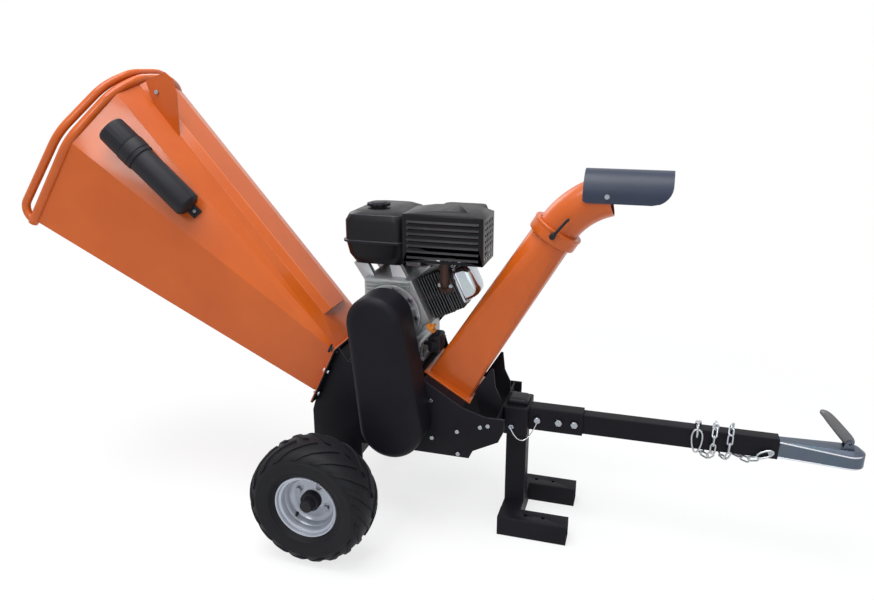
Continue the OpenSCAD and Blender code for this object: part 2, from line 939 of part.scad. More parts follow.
// outline of the plate that stands on the roof beside the cover
module ear_outline() {
  difference() {
    polygon([[-611, 1279], [-544, 1303], [-521, 1285], [-511, 1244], [-516, 1116], [-586, 1198]]);
    translate(ear_bolt)
      circle(d = bolt_d + 2 * gap);
  }
}

module hopper_body() {
  color(ORANGE)
    place() {
      difference() {
        hopper_loft(0, 0, (1 - flange_t) / 2);
        hopper_loft(sheet_t, 1, 1);
      }
      difference() {
        at_throat()
          linear_extrude(flange_t - 1)
            difference() {
              translate([-half - flange_w, -flange_w])
                square([2 * (half + flange_w), throat_h + 2 * flange_w]);
              translate([-throat_hw + sheet_t, sheet_t])
                square([2 * (throat_hw - sheet_t), throat_h - 2 * sheet_t]);
            }
        throat_bolt_holes();
      }
      across(-roof_y - ear_t, -roof_y)
        ear_outline();
    }
}

// folded strip over the roof joint, standing on its two bent lips
module hopper_cover() {
  t = sheet_t;
  color(ORANGE)
    place()
      translate(xz(roof_start, 0))
        rotate([0, ridge_a, 0])
          rotate([90, 0, 90])
            linear_extrude(ridge_l)
              polygon([[-roof_y, 0], [-cover_hw, cover_h], [cover_hw, cover_h], [roof_y, 0],
                [roof_y - 1.5 * t, 0], [cover_hw - t / 2, cover_h - t],
                [t / 2 - cover_hw, cover_h - t], [1.5 * t - roof_y, 0]]);
}

function rim_point(p, off) = mouth_at(p[0], p[1]) + xz(mouth_out * off, 0);

module rim_tube() {
  foot = [mouth_at(-rim_off, -mouth_hw), mouth_at(-rim_off, mouth_hw)];
  o = xz(mouth_out * rim_off, 0);
  path = [for (i = [0:7]) i == 0 ? foot[0] + o : i == 7 ? foot[1] + o : rim_point(tube_path[i], rim_off)];
  color(ORANGE)
    place() {
      bent_bar(path, 40, rim_tube_d / 2);
      difference() {
        rod(rim_point(tube_path[0], rim_off), rim_point(tube_path[7], rim_off), rim_tube_d / 2 - 1);
        for (i = [0, 7])
          rod(path[i] - xz(mouth_dir * 5, 0), path[i] + xz(mouth_dir * 50, 0), rim_tube_d / 2 + 0.1);
      }
    }
}

module guard_tube() {
  off = rim_off + guard_gap;
  seat = rim_off + rim_tube_d / 2 + 0.1;
  s0 = guard_tube_d / 2;
  ends = [for (y = [-mouth_hw, mouth_hw]) [rim_point([s0, y], seat), rim_point([s0, y], off)]];
  path = concat(ends[0], [for (i = [1:6]) rim_point(tube_path[i], off)], [ends[1][1], ends[1][0]]);
  color(ORANGE)
    place()
      bent_bar(path, 24, guard_tube_d / 2);
}

module throat_handle() {
  bar_l = 26;
  stem = 16;
  color(BLACK)
    place()
      at_throat()
        translate([handle_y, handle_s, 0]) {
          translate([0, 0, -flange_t - 6])
            cylinder(d = handle_d, h = flange_t + 6 + stem);
          translate([0, 0, flange_t - 1 + gap])
            cylinder(d = handle_d + 6, h = 6);
          translate([0, 0, stem])
            rotate([90, 0, 0])
              cylinder(d = handle_d - 0.5, h = bar_l, center = true);
        }
}

// heads and through bolts that fasten hopper, plates, chute, tow bar and bracket
module bolts() {
  color(STEEL)
    place() {
      at_throat()
        for (x = [-throat_bolt_y, throat_bolt_y], y = throat_bolt_s)
          translate([x, y, flange_t - 1]) {
            bolt(bolt_d, 2 * flange_t - 1);
            translate([0, 0, -2 * flange_t + 1 - bolt_d * 0.8])
              cylinder(d = bolt_d * 1.75, h = bolt_d * 0.8, $fn = 6);
          }
      both_sides()
        for (p = plate_bolts)
          translate([p[0], -half, p[1]])
            rotate([90, 0, 0])
              cylinder(d = 13, h = 6, $fn = 6);
      translate(xz(ear_bolt, -roof_y - ear_t))
        rotate([90, 0, 0])
          bolt(bolt_d, ear_t);
      at_doc()
        translate([doc_tab_x, 0, gap - doc_rise + doc_tab_t])
          bolt(doc_bolt_d, doc_tab_t);
      for (x = bolt_xs)
        translate([x, -bar_w / 2 - socket_t - gap, bar_z])
          rotate([90, 0, 0]) {
            bolt(hitch_d, bar_w + socket_over);
            translate([0, 0, -bar_w - socket_over - 9])
              cylinder(d = hitch_d * 1.75, h = 9, $fn = 6);
          }
      translate([leg_x - 10, -box_hw, bar_z - 15])
        rotate([90, 0, 0])
          cylinder(d = 16, h = 8, $fn = 6);
      translate(xz(tail_bolt, -bar_w / 2))
        rotate([90, 0, 0]) {
          bolt(tail_bolt_d, bar_w);
          translate([0, 0, -bar_w - 8])
            cylinder(d = tail_bolt_d * 1.75, h = 8, $fn = 6);
        }
      at_engine_feet()
        translate([0, 0, foot_t])
          bolt(foot_bolt_d, foot_t + deck_t);
    }
}

// Document tube, on the near bevel: x along the tube, z away from the bevel

module at_doc() {
  side = cross(doc_out, doc_dir);
  translate(doc_start)
    multmatrix([[doc_dir[0], side[0], doc_out[0], 0], [doc_dir[1], side[1], doc_out[1], 0],
      [doc_dir[2], side[2], doc_out[2], 0]])
      children();
}

module doc_tube() {
  wall = 3;
  lap = 40;
  color(BLACK)
    place()
      at_doc() {
        translate([doc_cap_l - lap, 0, 0])
          rotate([0, 90, 0])
            difference() {
              union() {
                cylinder(d = doc_d, h = doc_l + lap);
                translate([0, 0, doc_l + lap])
                  cylinder(d1 = doc_d, d2 = doc_d - 16, h = 9);
              }
              translate([0, 0, -wall])
                cylinder(d = doc_d - 2 * wall, h = doc_l + lap);
            }
        for (x = [doc_cap_l + 30, doc_cap_l + doc_l - 55])
          difference() {
            translate([x, -20, gap - doc_rise])
              cube([26, 40, doc_rise - gap]);
            rotate([0, 90, 0])
              cylinder(d = doc_d - wall, h = 2 * doc_l);
          }
        difference() {
          translate([doc_tab_x - 48, -15, gap - doc_rise])
            cube([62, 30, doc_tab_t]);
          translate([doc_tab_x, 0, -doc_rise])
            cylinder(d = doc_bolt_d + 2 * gap, h = 20);
        }
      }
}

module doc_cap() {
  ribs = 20;
  color(BLACK)
    place()
      at_doc()
        rotate([0, 90, 0])
          difference() {
            union() {
              cylinder(d = doc_cap_d - 6, h = doc_cap_l);
              for (i = [0:ribs - 1])
                rotate([0, 0, i * 360 / ribs])
                  translate([doc_cap_d / 2 - 5, -3, 6])
                    cube([4.5, 6, doc_cap_l - 24]);
              translate([0, 0, doc_cap_l - 14])
                cylinder(d = doc_cap_d, h = 12);
            }
            translate([0, 0, 26])
              cylinder(d = doc_d + 2 * gap, h = doc_cap_l);
          }
}

// Chute

module at_chute() {
  translate(xz(chute_foot, 0))
    rotate([0, 90 - chute_tilt, 0])
      children();
}

module chute_form(off, z0, z1) {
  hull() {
    translate([0, 0, z0])
      linear_extrude(0.5)
        square(chute_w + 2 * off, center = true);
    translate([0, 0, z1])
      cylinder(d = chute_d + 2 * off, h = 0.5, $fn = 48);
  }
}

module chute() {
  color(ORANGE)
    place()
      at_chute() {
        difference() {
          chute_form(0, chute_flange_t - 1, chute_l - 5);
          chute_form(-chute_t, chute_flange_t - 2, chute_l);
        }
        linear_extrude(chute_flange_t)
          difference() {
            round_rect(-chute_w / 2 - 11, chute_w / 2 + 11, -98, 98, 4);
            square(chute_w - 2 * chute_t, center = true);
          }
        translate([0, 0, chute_l - 5])
          difference() {
            cylinder(d = collar_d, h = 5);
            translate([0, 0, -1])
              cylinder(d = elbow_d - 2 * elbow_wall, h = 7);
          }
      }
}

module swivel_collar() {
  color(ORANGE)
    place()
      at_chute()
        difference() {
          translate([0, 0, chute_l])
            cylinder(d = collar_d, h = collar_h);
          translate([0, 0, chute_l - 1])
            cylinder(d = elbow_d + 2 * (seam + gap), h = collar_h + 2);
          translate([0, 0, chute_l - 1])
            cylinder(r = lip_r + gap, h = lip_h + 1 + 2 * gap);
          translate([0, 0, lever_z])
            rotate([90, 0, 0])
              cylinder(d = lever_d + 2 * run, h = collar_d);
        }
}

module clamp_lever() {
  seat = collar_d / 2;
  arm = 46;
  color(BLACK)
    place()
      at_chute()
        translate([0, 0, lever_z])
          rotate([90, 0, 0]) {
            translate([0, 0, lip_r + 2 * gap])
              cylinder(d = lever_d, h = seat - lip_r + 6);
            translate([0, 0, seat + gap])
              cylinder(d = 22, h = 14);
            translate([0, 0, seat + 9])
              rotate([0, 90, 55])
                cylinder(d1 = 11, d2 = 9, h = arm);
            translate([cos(55) * arm, sin(55) * arm, seat + 9])
              sphere(d = 14);
          }
}

// neck with its lip, bend and spout; neck and spout stand proud of the bend by the weld seam
module elbow() {
  r = elbow_d / 2;
  lap = 1;
  turn_c = chute_at(bend_start, 0) + [sa, -ca] * elbow_r;
  color(ORANGE)
    place() {
      at_chute()
        translate([0, 0, chute_l + gap])
          difference() {
            union() {
              cylinder(r = r + seam, h = bend_start - chute_l - gap + lap);
              cylinder(r = lip_r, h = lip_h);
            }
            translate([0, 0, -1])
              cylinder(r = r - elbow_wall - seam, h = bend_start);
          }
      translate(xz(turn_c, 0))
        rotate([90, 0, 0])
          rotate([0, 0, 90])
            rotate_extrude(angle = chute_tilt)
              translate([elbow_r, 0])
                difference() {
                  circle(r);
                  circle(r - elbow_wall);
                }
      translate([spout_x - lap, 0, spout_z])
        rotate([0, 90, 0])
          difference() {
            cylinder(r = r + seam, h = spout_l + lap);
            translate([0, 0, -1])
              cylinder(r = r - elbow_wall - seam, h = spout_l + lap + 2);
            translate([0, 0, pivot_d + lap])
              rotate([90, 0, 0])
                cylinder(d = pivot_d + 2 * run, h = 2 * elbow_d, center = true);
          }
    }
}

module deflector() {
  r = elbow_d / 2 + 3.5;
  t = 2.5;
  soft = 26;
  x0 = -deflector_back;
  x1 = deflector_l - deflector_back;
  color([0.20, 0.21, 0.25])
    place()
      translate([pivot_x, 0, spout_z]) {
        intersection() {
          translate([x0, 0, 0])
            rotate([90, 0, 90])
              linear_extrude(deflector_l)
                difference() {
                  union() {
                    circle(r + t, $fn = 96);
                    translate([-r - t, -deflector_drop])
                      square([2 * (r + t), deflector_drop]);
                  }
                  circle(r, $fn = 96);
                  translate([-r, -2 * r])
                    square([2 * r, 2 * r]);
                  translate([-2 * r, -2 * r - deflector_drop])
                    square([4 * r, 2 * r]);
                }
          across(-2 * r, 2 * r) {
            translate([x0, soft - deflector_drop])
              square([deflector_l, r + t + deflector_drop]);
            translate([x0, -deflector_drop])
              square([deflector_l - soft, 2 * soft]);
            translate([x1 - soft, soft - deflector_drop])
              circle(soft);
          }
        }
        both_sides()
          rotate([90, 0, 0]) {
            translate([0, 0, r - 6])
              cylinder(d = pivot_d, h = 6 + t);
            translate([0, 0, r + t])
              cylinder(d = 17, h = 6, $fn = 6);
          }
      }
}

// Engine

module crankcase() {
  color(ALU)
    place()
      difference() {
        union() {
          across(engine_y0 + 6, engine_y1 - 4) {
            translate([crank_x, crank_z])
              circle(case_r, $fn = 96);
            translate([engine_x0 + 6, engine_z])
              square([engine_x1 - engine_x0 - 12, crank_h]);
            translate([crank_x, crank_z])
              rotate(cyl_tilt)
                translate([0, -68])
                  square([case_r, 136]);
            translate([crank_x - 82, crank_z])
              square([140, pad_h]);
          }
          translate([engine_x0, engine_y0, engine_z])
            cube([engine_x1 - engine_x0, engine_y1 - engine_y0, foot_t]);
          oil_neck();
          tank_arms();
          case_ribs();
        }
        translate([crank_x, 0, crank_z])
          rotate([90, 0, 0])
            cylinder(d = crank_d + 2 * run, h = 3 * half, center = true);
        at_engine_feet()
          translate([0, 0, -1]) {
            cylinder(d = foot_bolt_d + 2 * gap, h = foot_t + 2);
            translate([0, 0, foot_t + 1])
              cylinder(d = foot_bolt_d * 3, h = 20);
          }
      }
}

// cast arms that carry the tank, leaning from the crankcase pad to the tank's underside
module tank_arms() {
  arm_w = 18;
  root = crank_z + pad_h - 40;
  left = tank_x0 + tank_foot + 2;
  right = tank_x0 + tank_l - tank_foot;
  for (y = [tank_y0 + tank_foot + 2, recoil_y0 - arm_w - 1])
    across(y, y + arm_w) {
      polygon([[crank_x - 80, root], [crank_x - 44, root], [left + 44, tank_z0], [left, tank_z0]]);
      polygon([[crank_x, root], [crank_x + 56, root], [right, tank_z0], [right - 32, tank_z0]]);
    }
}

// cooling ribs on the near wall, clear of the drive-side cover
module case_ribs() {
  rib_t = 4;
  pitch = 10;
  difference() {
    for (i = [0:3])
      translate([crank_x - 78, engine_y0, crank_z + pad_h - 8 - i * pitch])
        cube([132, 10, rib_t]);
    translate([crank_x, engine_y0 + 6, crank_z])
      rotate([90, 0, 0])
        cylinder(r = cover_r + 1, h = 20);
  }
}

module at_neck() {
  translate(neck_c)
    rotate([0, neck_tilt, 0])
      children();
}

module oil_neck() {
  at_neck()
    cylinder(d = neck_d, h = neck_l);
  translate(neck_c + [0, 20, 0])
    rotate([90, 0, 0])
      cylinder(d = neck_d + 6, h = 32);
}

module oil_cap() {
  color([0.85, 0.55, 0.16])
    place()
      at_neck()
        translate([0, 0, neck_l + gap]) {
          cylinder(d = neck_d + 4, h = 9);
          translate([-4, -neck_d / 2, 9])
            cube([8, neck_d, 9]);
        }
}

// cast cover on the drive side with its ring of bolts and shaft boss
module side_cover() {
  bolts_n = 9;
  color(ALU)
    place()
      translate([crank_x, engine_y0 + 6, crank_z])
        rotate([90, 0, 0])
          difference() {
            union() {
              cylinder(r = cover_r, h = 14);
              cylinder(r = cover_r - 22, h = 24);
              cylinder(r = 30, h = 34);
              for (i = [0:bolts_n - 1])
                rotate([0, 0, i * 360 / bolts_n])
                  translate([cover_r - 9, 0, 0])
                    cylinder(r = 7, h = 18, $fn = 32);
              for (a = [20:60:320])
                rotate([0, 0, a])
                  translate([0, -2.5, 13])
                    cube([cover_r - 12, 5, 9]);
            }
            translate([0, 0, -1])
              cylinder(d = crank_d + 2 * run, h = 60);
          }
}

// along the cylinder: x away from the crankshaft
module at_cylinder() {
  translate([crank_x, 0, crank_z])
    rotate([0, -cyl_tilt, 0])
      children();
}

module cylinder_barrel() {
  fin_t = 3;
  pitch = (barrel_l - fin_t) / fin_count;
  color(BLACK)
    place()
      at_cylinder() {
        translate([case_r, 0, 0])
          rotate([0, 90, 0])
            cylinder(d = 100, h = barrel_l);
        for (i = [1:fin_count])
          translate([case_r + i * pitch, 0, 0])
            rotate([90, 0, 90])
              linear_extrude(fin_t)
                round_rect(-fin_hw, fin_hw, -66, 66, 12);
      }
}

module cylinder_head() {
  fins = 4;
  color([0.30, 0.30, 0.32])
    place()
      at_cylinder() {
        translate([head_x, -50, -56])
          cube([head_l, 100, 112]);
        for (i = [0:fins - 1])
          translate([head_x + 2 + i * (head_l - 5) / fins, 0, 0])
            rotate([90, 0, 90])
              linear_extrude(4)
                round_rect(-fin_hw, fin_hw, -64, 64, 10);
        translate([head_x + 6, -66, -8])
          cube([26, 132, 40]);
      }
}

module rocker_cover() {
  color(STEEL)
    place()
      at_cylinder()
        translate([head_x + head_l, 0, 0])
          rotate([90, 0, 90]) {
            linear_extrude(6)
              round_rect(-56, 56, -58, 58, 16);
            hull() {
              linear_extrude(rocker_l - 14)
                round_rect(-48, 48, -50, 50, 18);
              linear_extrude(rocker_l)
                round_rect(-34, 34, -36, 36, 16);
            }
          }
}

// exhaust pipe with its flange and the silencer box welded to it
module muffler() {
  port = [crank_x + port_at[0], -66, crank_z + port_at[1]];
  pipe_y = -84;
  color([0.25, 0.20, 0.18])
    place() {
      translate([muff_x0, 0, 0])
        rotate([90, 0, 90])
          linear_extrude(muff_x1 - muff_x0)
            round_rect(muff_y0, muff_y1, muff_z0, muff_z1, 18);
      bent_bar([port, [port[0], pipe_y, port[2]], [port[0], pipe_y, muff_z0 + 20]], 16, 12);
      translate(port)
        rotate([90, 0, 0])
          cylinder(d = 44, h = 6);
      for (x = [muff_x0 + 30, muff_x1 - 30], z = [muff_z0 + 30, muff_z1 - 30])
        translate([x, muff_y0 + 1, z])
          rotate([90, 0, 0])
            cylinder(d = 12, h = guard_off + 1 - gap);
    }
}

// crowned line of the heat guard's top, as shares of its length and drops below the highest point
function crown(off) = [for (c = [[0, 12], [0.25, 4], [0.55, 0], [0.8, 2], [1, 15]])
  [mix(heat_x0 + off, heat_x1 - off, c[0]), heat_z1 - off - c[1]]];

module heat_form(off, low, back) {
  intersection() {
    translate([heat_x0 - 1, 0, 0])
      rotate([90, 0, 90])
        linear_extrude(heat_x1 - heat_x0 + 2)
          round_rect(heat_y0 + off, back + 40, low - 40, heat_z1 - off, 20 - off);
    across(heat_y0 - 1, back)
      polygon(concat([[heat_x1 - off, low], [heat_x0 + off, low]], crown(off)));
  }
}

// heat guard: crowned top, full-width louvre blades over slots, pierced end, open below and behind
module muffler_guard() {
  pitch = (heat_z1 - heat_z0 - 30) / louvre_count;
  slot_h = pitch * 0.45;
  blade = 5;
  edge = 12;
  holes = 5;
  color(BLACK)
    place() {
      difference() {
        heat_form(0, heat_z0, heat_y1);
        heat_form(heat_t, heat_z0 - 1, heat_y1 + 1);
        for (i = [0:louvre_count - 1])
          translate([heat_x0 + edge, heat_y0 - 1, heat_z0 + 8 + i * pitch])
            cube([heat_x1 - heat_x0 - 2 * edge, heat_t + 2, slot_h]);
        for (k = [0:holes - 1], i = [0:louvre_count - 1])
          translate([heat_x1 - heat_t - 1, heat_y0 + 24 + k * 20, heat_z0 + 10 + i * pitch])
            cube([heat_t + 2, 12, slot_h]);
      }
      translate([heat_x0 + edge, 0, 0])
        rotate([90, 0, 90])
          linear_extrude(heat_x1 - heat_x0 - 2 * edge)
            for (i = [0:louvre_count - 1])
              translate([heat_y0, heat_z0 + 8 + i * pitch + slot_h])
                polygon([[heat_t / 2, 3], [-blade, 1 - slot_h / 2],
                  [-blade, -slot_h / 2], [heat_t / 2, 1]]);
    }
}

module tank_layer(z, h, inset) {
  translate([0, 0, z])
    linear_extrude(h)
      round_rect(tank_x0 + inset, tank_x0 + tank_l - inset, tank_y0 + inset, tank_y0 + tank_w - inset, 34);
}

// two pressed halves joined by a seam flange, the lower one drawn in to its foot
module fuel_tank() {
  split = tank_h * 0.4;
  color(BLACK)
    place() {
      hull() {
        tank_layer(tank_z0, 1, tank_foot);
        tank_layer(tank_z0 + split * 0.4, 1, 12);
        tank_layer(tank_z0 + split - 1, 1, 5);
      }
      tank_layer(tank_z0 + split - 3, 6, 0);
      hull() {
        tank_layer(tank_z0 + split, tank_h - split - 34, 5);
        tank_layer(tank_z0 + tank_h - 12, 1, 14);
        tank_layer(tank_z0 + tank_h - 1, 1, 34);
      }
      translate([cap_c[0], cap_c[1], tank_z0 + tank_h - 2])
        difference() {
          cylinder(d = 50, h = 8);
          translate([0, 0, 3])
            cylinder(d = 44, h = 8);
        }
    }
}

module fuel_cap() {
  lugs = 12;
  color(BLACK)
    place()
      translate([cap_c[0], cap_c[1], tank_z0 + tank_h + 6 + gap]) {
        cylinder(d = 62, h = 14);
        translate([0, 0, 14])
          cylinder(d = 48, h = 4);
        for (i = [0:lugs - 1])
          rotate([0, 0, i * 360 / lugs])
            translate([29, -4, 1])
              cube([5, 8, 12]);
      }
}

module air_cleaner() {
  x0 = crank_x + air_lead;
  x1 = x0 + air_l;
  y0 = air_y[0];
  y1 = air_y[1];
  z0 = carb_z1;
  z1 = z0 + air_h;
  color(BLACK)
    place() {
      hull() {
        translate([0, 0, z0])
          linear_extrude(96)
            round_rect(x0, x1, y0, y1, 26);
        translate([0, 0, z1 - 8])
          linear_extrude(8)
            round_rect(x0 + 18, x1 - 18, y0 + 18, y1 - 18, 24);
      }
      translate([0, 0, z0 + 34])
        linear_extrude(5)
          round_rect(x0 - 4, x1 + 4, y0 - 4, y1 + 4, 28);
    }
}

module carburettor() {
  color(ALU)
    place()
      difference() {
        union() {
          translate([carb_x, 82, carb_z0 + 28])
            cube([54, carb_y1 - 82, carb_z1 - carb_z0 - 28]);
          translate([carb_x + 27, 108, carb_z0])
            cylinder(d = 44, h = 30);
          translate([carb_x + 6, 66, carb_z0 + 32])
            cube([36, 18, 30]);
        }
        for (z = lever_zs)
          translate([carb_x + 30, carb_y1 - 12, z])
            rotate([-90, 0, 0])
              cylinder(d = lever_pin_d + 2 * run, h = 20);
      }
}

// small hand lever on a pin, the pin pointing along -Y
module hand_lever(length, turn) {
  rotate([-90, 0, 0]) {
    translate([0, 0, -10])
      cylinder(d = lever_pin_d, h = 12);
    linear_extrude(4)
      rotate(turn)
        capsule([0, 0], 8, [length, 0], 5);
    rotate([0, 0, turn])
      translate([length, 0, 0])
        cylinder(d = 8, h = 12);
  }
}

module choke_lever() {
  color(BLACK)
    place()
      translate([carb_x + 30, carb_y1 + gap, lever_zs[1]])
        hand_lever(34, 200);
}

module fuel_tap() {
  color(BLACK)
    place()
      translate([carb_x + 30, carb_y1 + gap, lever_zs[0]])
        hand_lever(28, 20);
}

// fan housing with the starter bowl, cooling slots and the pull grip at rest in its guide
module recoil_housing() {
  slots = 14;
  color(BLACK)
    place() {
      translate([crank_x, recoil_y0, crank_z])
        rotate([-90, 0, 0])
          difference() {
            union() {
              cylinder(r = 116, h = recoil_d, $fn = 96);
              cylinder(r = 84, h = recoil_d + 34, $fn = 96);
            }
            translate([0, 0, -1])
              cylinder(r = 22, h = recoil_d);
            for (i = [0:slots - 1])
              rotate([0, 0, i * 360 / slots])
                translate([34, -4, recoil_d + 24])
                  cube([42, 8, 12]);
            translate([throttle_c[0] - crank_x, crank_z - throttle_c[1], recoil_d - 12])
              cylinder(d = lever_pin_d + 2 * run, h = 20);
          }
      translate([crank_x - 96, recoil_y0 + recoil_d + 8, crank_z + 30])
        rotate([0, 60, 0])
          cylinder(d = 16, h = 60, center = true);
    }
}

module throttle_lever() {
  color(BLACK)
    place()
      translate([throttle_c[0], recoil_y0 + recoil_d + gap, throttle_c[1]])
        hand_lever(46, -40);
}

// black switch box beside the oil filler, on a strap from the engine foot
module control_box() {
  color(BLACK)
    place()
      difference() {
        union() {
          translate([0, box_c[1] + box_d / 2, 0])
            rotate([90, 0, 0])
              linear_extrude(box_d)
                round_rect(box_c[0], box_c[0] + box_w, box_c[2], box_c[2] + box_h, 8);
          translate([engine_x1 - 6, box_c[1] - 12, box_c[2] + 14])
            cube([30, 24, 6]);
        }
        translate([box_c[0] + box_w / 2, box_c[1] - box_d / 2 + 8, box_c[2] + box_h / 2])
          rotate([90, 0, 0])
            cylinder(d = switch_d + 2 * run, h = 20);
      }
}

module engine_switch() {
  color(BLACK)
    place()
      translate([box_c[0] + box_w / 2, box_c[1] - box_d / 2 - gap, box_c[2] + box_h / 2])
        rotate([90, 0, 0]) {
          translate([0, 0, -7])
            cylinder(d = switch_d, h = 8);
          cylinder(d = 22, h = 6);
          translate([-3, -11, 6])
            cube([6, 22, 8]);
        }
}

module crankshaft() {
  color(STEEL)
    place()
      translate([crank_x, recoil_y0 - 6, crank_z])
        rotate([90, 0, 0])
          cylinder(d = crank_d, h = recoil_y0 - 6 + half + 84);
}

// Stand and tow bar

module stand() {
  rear = leg_x - leg_w / 2;
  color(BLACK)
    place()
      difference() {
        union() {
          translate([leg_x, 0, leg_w - 1])
            linear_extrude(box_z1 + 5 - leg_w)
              difference() {
                round_rect(-leg_w / 2, leg_w / 2, -leg_w / 2, leg_w / 2, 5);
                square(leg_w - 2 * tube_t, center = true);
              }
          translate([leg_x - leg_w / 2, -leg_w / 2, box_z1 + 1])
            cube([leg_w, leg_w, 4]);
          translate([leg_x, 0, leg_w / 2])
            rotate([0, 0, 90])
              box_x(-foot_gap / 2, foot_gap / 2, leg_w, leg_w, tube_t);
          both_sides()
            translate([0, -foot_gap / 2, leg_w / 2])
              box_x(rear, rear + foot_l, leg_w, leg_w, tube_t);
          both_sides()
            translate([rear, -foot_gap / 2 - leg_w / 2 + 1, 1])
              cube([tube_t, leg_w - 2, leg_w - 2]);
        }
        for (x = foot_holes, y = [-foot_gap / 2, foot_gap / 2])
          translate([x, y, -1])
            cylinder(d = foot_hole_d, h = leg_w + 2);
      }
}

module tow_bar() {
  color(BLACK)
    place()
      difference() {
        translate([0, 0, bar_z])
          box_x(box_x1 + gap, bar_end_x, bar_w, bar_h, tube_t);
        for (x = [hitch_x, bolt_xs[0], bolt_xs[1]])
          translate([x, 0, bar_z])
            rotate([90, 0, 0])
              cylinder(d = hitch_d + 2 * run, h = 2 * bar_w, center = true);
        translate(xz(tail_bolt, 0))
          rotate([90, 0, 0])
            cylinder(d = tail_bolt_d + 2 * gap, h = 2 * bar_w, center = true);
      }
}

// hitch pin with its head and the wire that keeps it from getting lost
module hitch_pin() {
  out = bar_w / 2 + socket_t + gap;
  wire = 1.5;
  color(STEEL)
    place()
      translate([hitch_x, 0, bar_z]) {
        translate([0, 2 + out, 0])
          rotate([90, 0, 0])
            cylinder(d = hitch_d, h = 2 * out + 4);
        translate([0, -out - gap, 0])
          rotate([90, 0, 0])
            cylinder(d = hitch_d + 7, h = 9);
        bent_bar([[0, -out - 6, -5], [-3, -out - 9, -42], [-28, -box_hw - 11, -58],
          [-58, -box_hw - 11, -46], [-70, -box_hw - 11, -15]], 12, wire, 8);
      }
}

// pressed ball coupler: tail inside the tow bar, domed nose over the ball
module coupler() {
  lid = ball_z + 24;
  skirt = ball_z - 21;
  color(STEEL)
    place()
      difference() {
        union() {
          translate([0, 0, ball_z])
            box_x(bar_end_x - tail_l, bar_end_x + 2, tail_w, tail_h, 3);
          hull() {
            translate([bar_end_x, -tail_w / 2, ball_z - tail_h / 2])
              cube([2, tail_w, tail_h]);
            translate([ball_x, 0, skirt])
              cylinder(r = nose_r, h = 34, $fn = 48);
            translate([ball_x, 0, skirt])
              cylinder(r = nose_r - 14, h = lid - skirt, $fn = 48);
          }
          both_sides()
            across(-lever_hw - 5, -lever_hw - 1)
              capsule([lever_x, lid - 4], 14, [lever_x, lever_pz], 9);
        }
        translate([ball_x, 0, ball_z - 8])
          sphere(d = ball_d + 0.8);
        translate([ball_x, 0, skirt - 1])
          cylinder(d = ball_d + 0.8, h = 14);
        translate([bar_end_x + 12, -clamp_hw - gap, skirt - 1])
          cube([ball_reach - 30, 2 * (clamp_hw + gap), tail_h - 8]);
        translate([lever_x, 0, lever_pz])
          rotate([90, 0, 0])
            cylinder(d = lever_pivot_d + 2 * run, h = 80, center = true);
        translate(xz(tail_bolt, 0))
          rotate([90, 0, 0])
            cylinder(d = tail_bolt_d + 2 * gap, h = 2 * bar_w, center = true);
      }
}

module coupler_lever() {
  arm = 112;
  rise = 138;
  tip = [lever_x + cos(rise) * arm, lever_pz + sin(rise) * arm];
  color([0.48, 0.47, 0.45])
    place() {
      across(-lever_hw, lever_hw) {
        capsule([lever_x, lever_pz], 9, tip, 5);
        capsule(tip, 4.5, tip + [-16, 2], 4);
      }
      translate([lever_x, 0, lever_pz])
        rotate([90, 0, 0])
          cylinder(d = lever_pivot_d, h = 2 * lever_hw + 12, center = true);
    }
}

// tongue that the lever pushes against the ball
module ball_clamp() {
  color(STEEL)
    place()
      translate([ball_x - 52, -clamp_hw, ball_z - 14])
        cube([20, 2 * clamp_hw, 26]);
}

// a chain link of round wire: x along the link, lying in the x y plane
module chain_link(pitch, width) {
  r = (width - chain_d) / 2;
  for (s = [-1, 1])
    translate([0, s * r, 0])
      rotate([0, 90, 0])
        cylinder(d = chain_d, h = pitch, center = true, $fn = 24);
  for (s = [0, 180])
    rotate([0, 0, s])
      translate([pitch / 2, 0, 0])
        rotate([0, 0, -90])
          rotate_extrude(angle = 180)
            translate([r, 0])
              circle(d = chain_d, $fn = 24);
}

// links hung over the bar in loops, with the snap hook at the rear end and an eye link on its bolt
module safety_chain() {
  near_y = -bar_w / 2 - chain_d / 2 - gap;
  top_z = bar_z + bar_h / 2;
  low_z = bar_z - bar_h / 2;
  link_p = 15;
  link_w = 19;
  loop_xs = [1047, 1088];
  color(STEEL)
    place() {
      for (x = loop_xs, i = [0:1])
        translate([x, near_y, top_z - 14 - i * 34])
          rotate([0, 90, 0])
            rotate([90, 0, 0])
              chain_link(link_p, link_w);
      for (i = [0:chain_links])
        translate([loop_xs[0] - 22 + i * 27, -2, low_z - chain_d / 2 - gap])
          chain_link(link_p - 10, link_w);
      translate([1003, near_y, 0])
        rotate([90, 0, 0])
          pear_hook(top_z - 8, low_z + 6);
      translate([tail_bolt[0] - 14, near_y - 6.5, tail_bolt[1] - 6])
        rotate([0, -28, 0])
          rotate([90, 0, 0])
            chain_link(link_p + 8, link_w + 1);
    }
}

// snap hook bent from one wire, wide at the top
module pear_hook(z1, z0) {
  bent_bar([[11.2, z1 - 25, 0], [6, z0 + 3, 0], [-6, z0 + 3, 0], [-13, z1 - 16, 0], [-8, z1, 0], [8, z1, 0],
    [13, z1 - 16, 0], [11.8, z1 - 21, 0]], 4, chain_d / 2, 12);
}

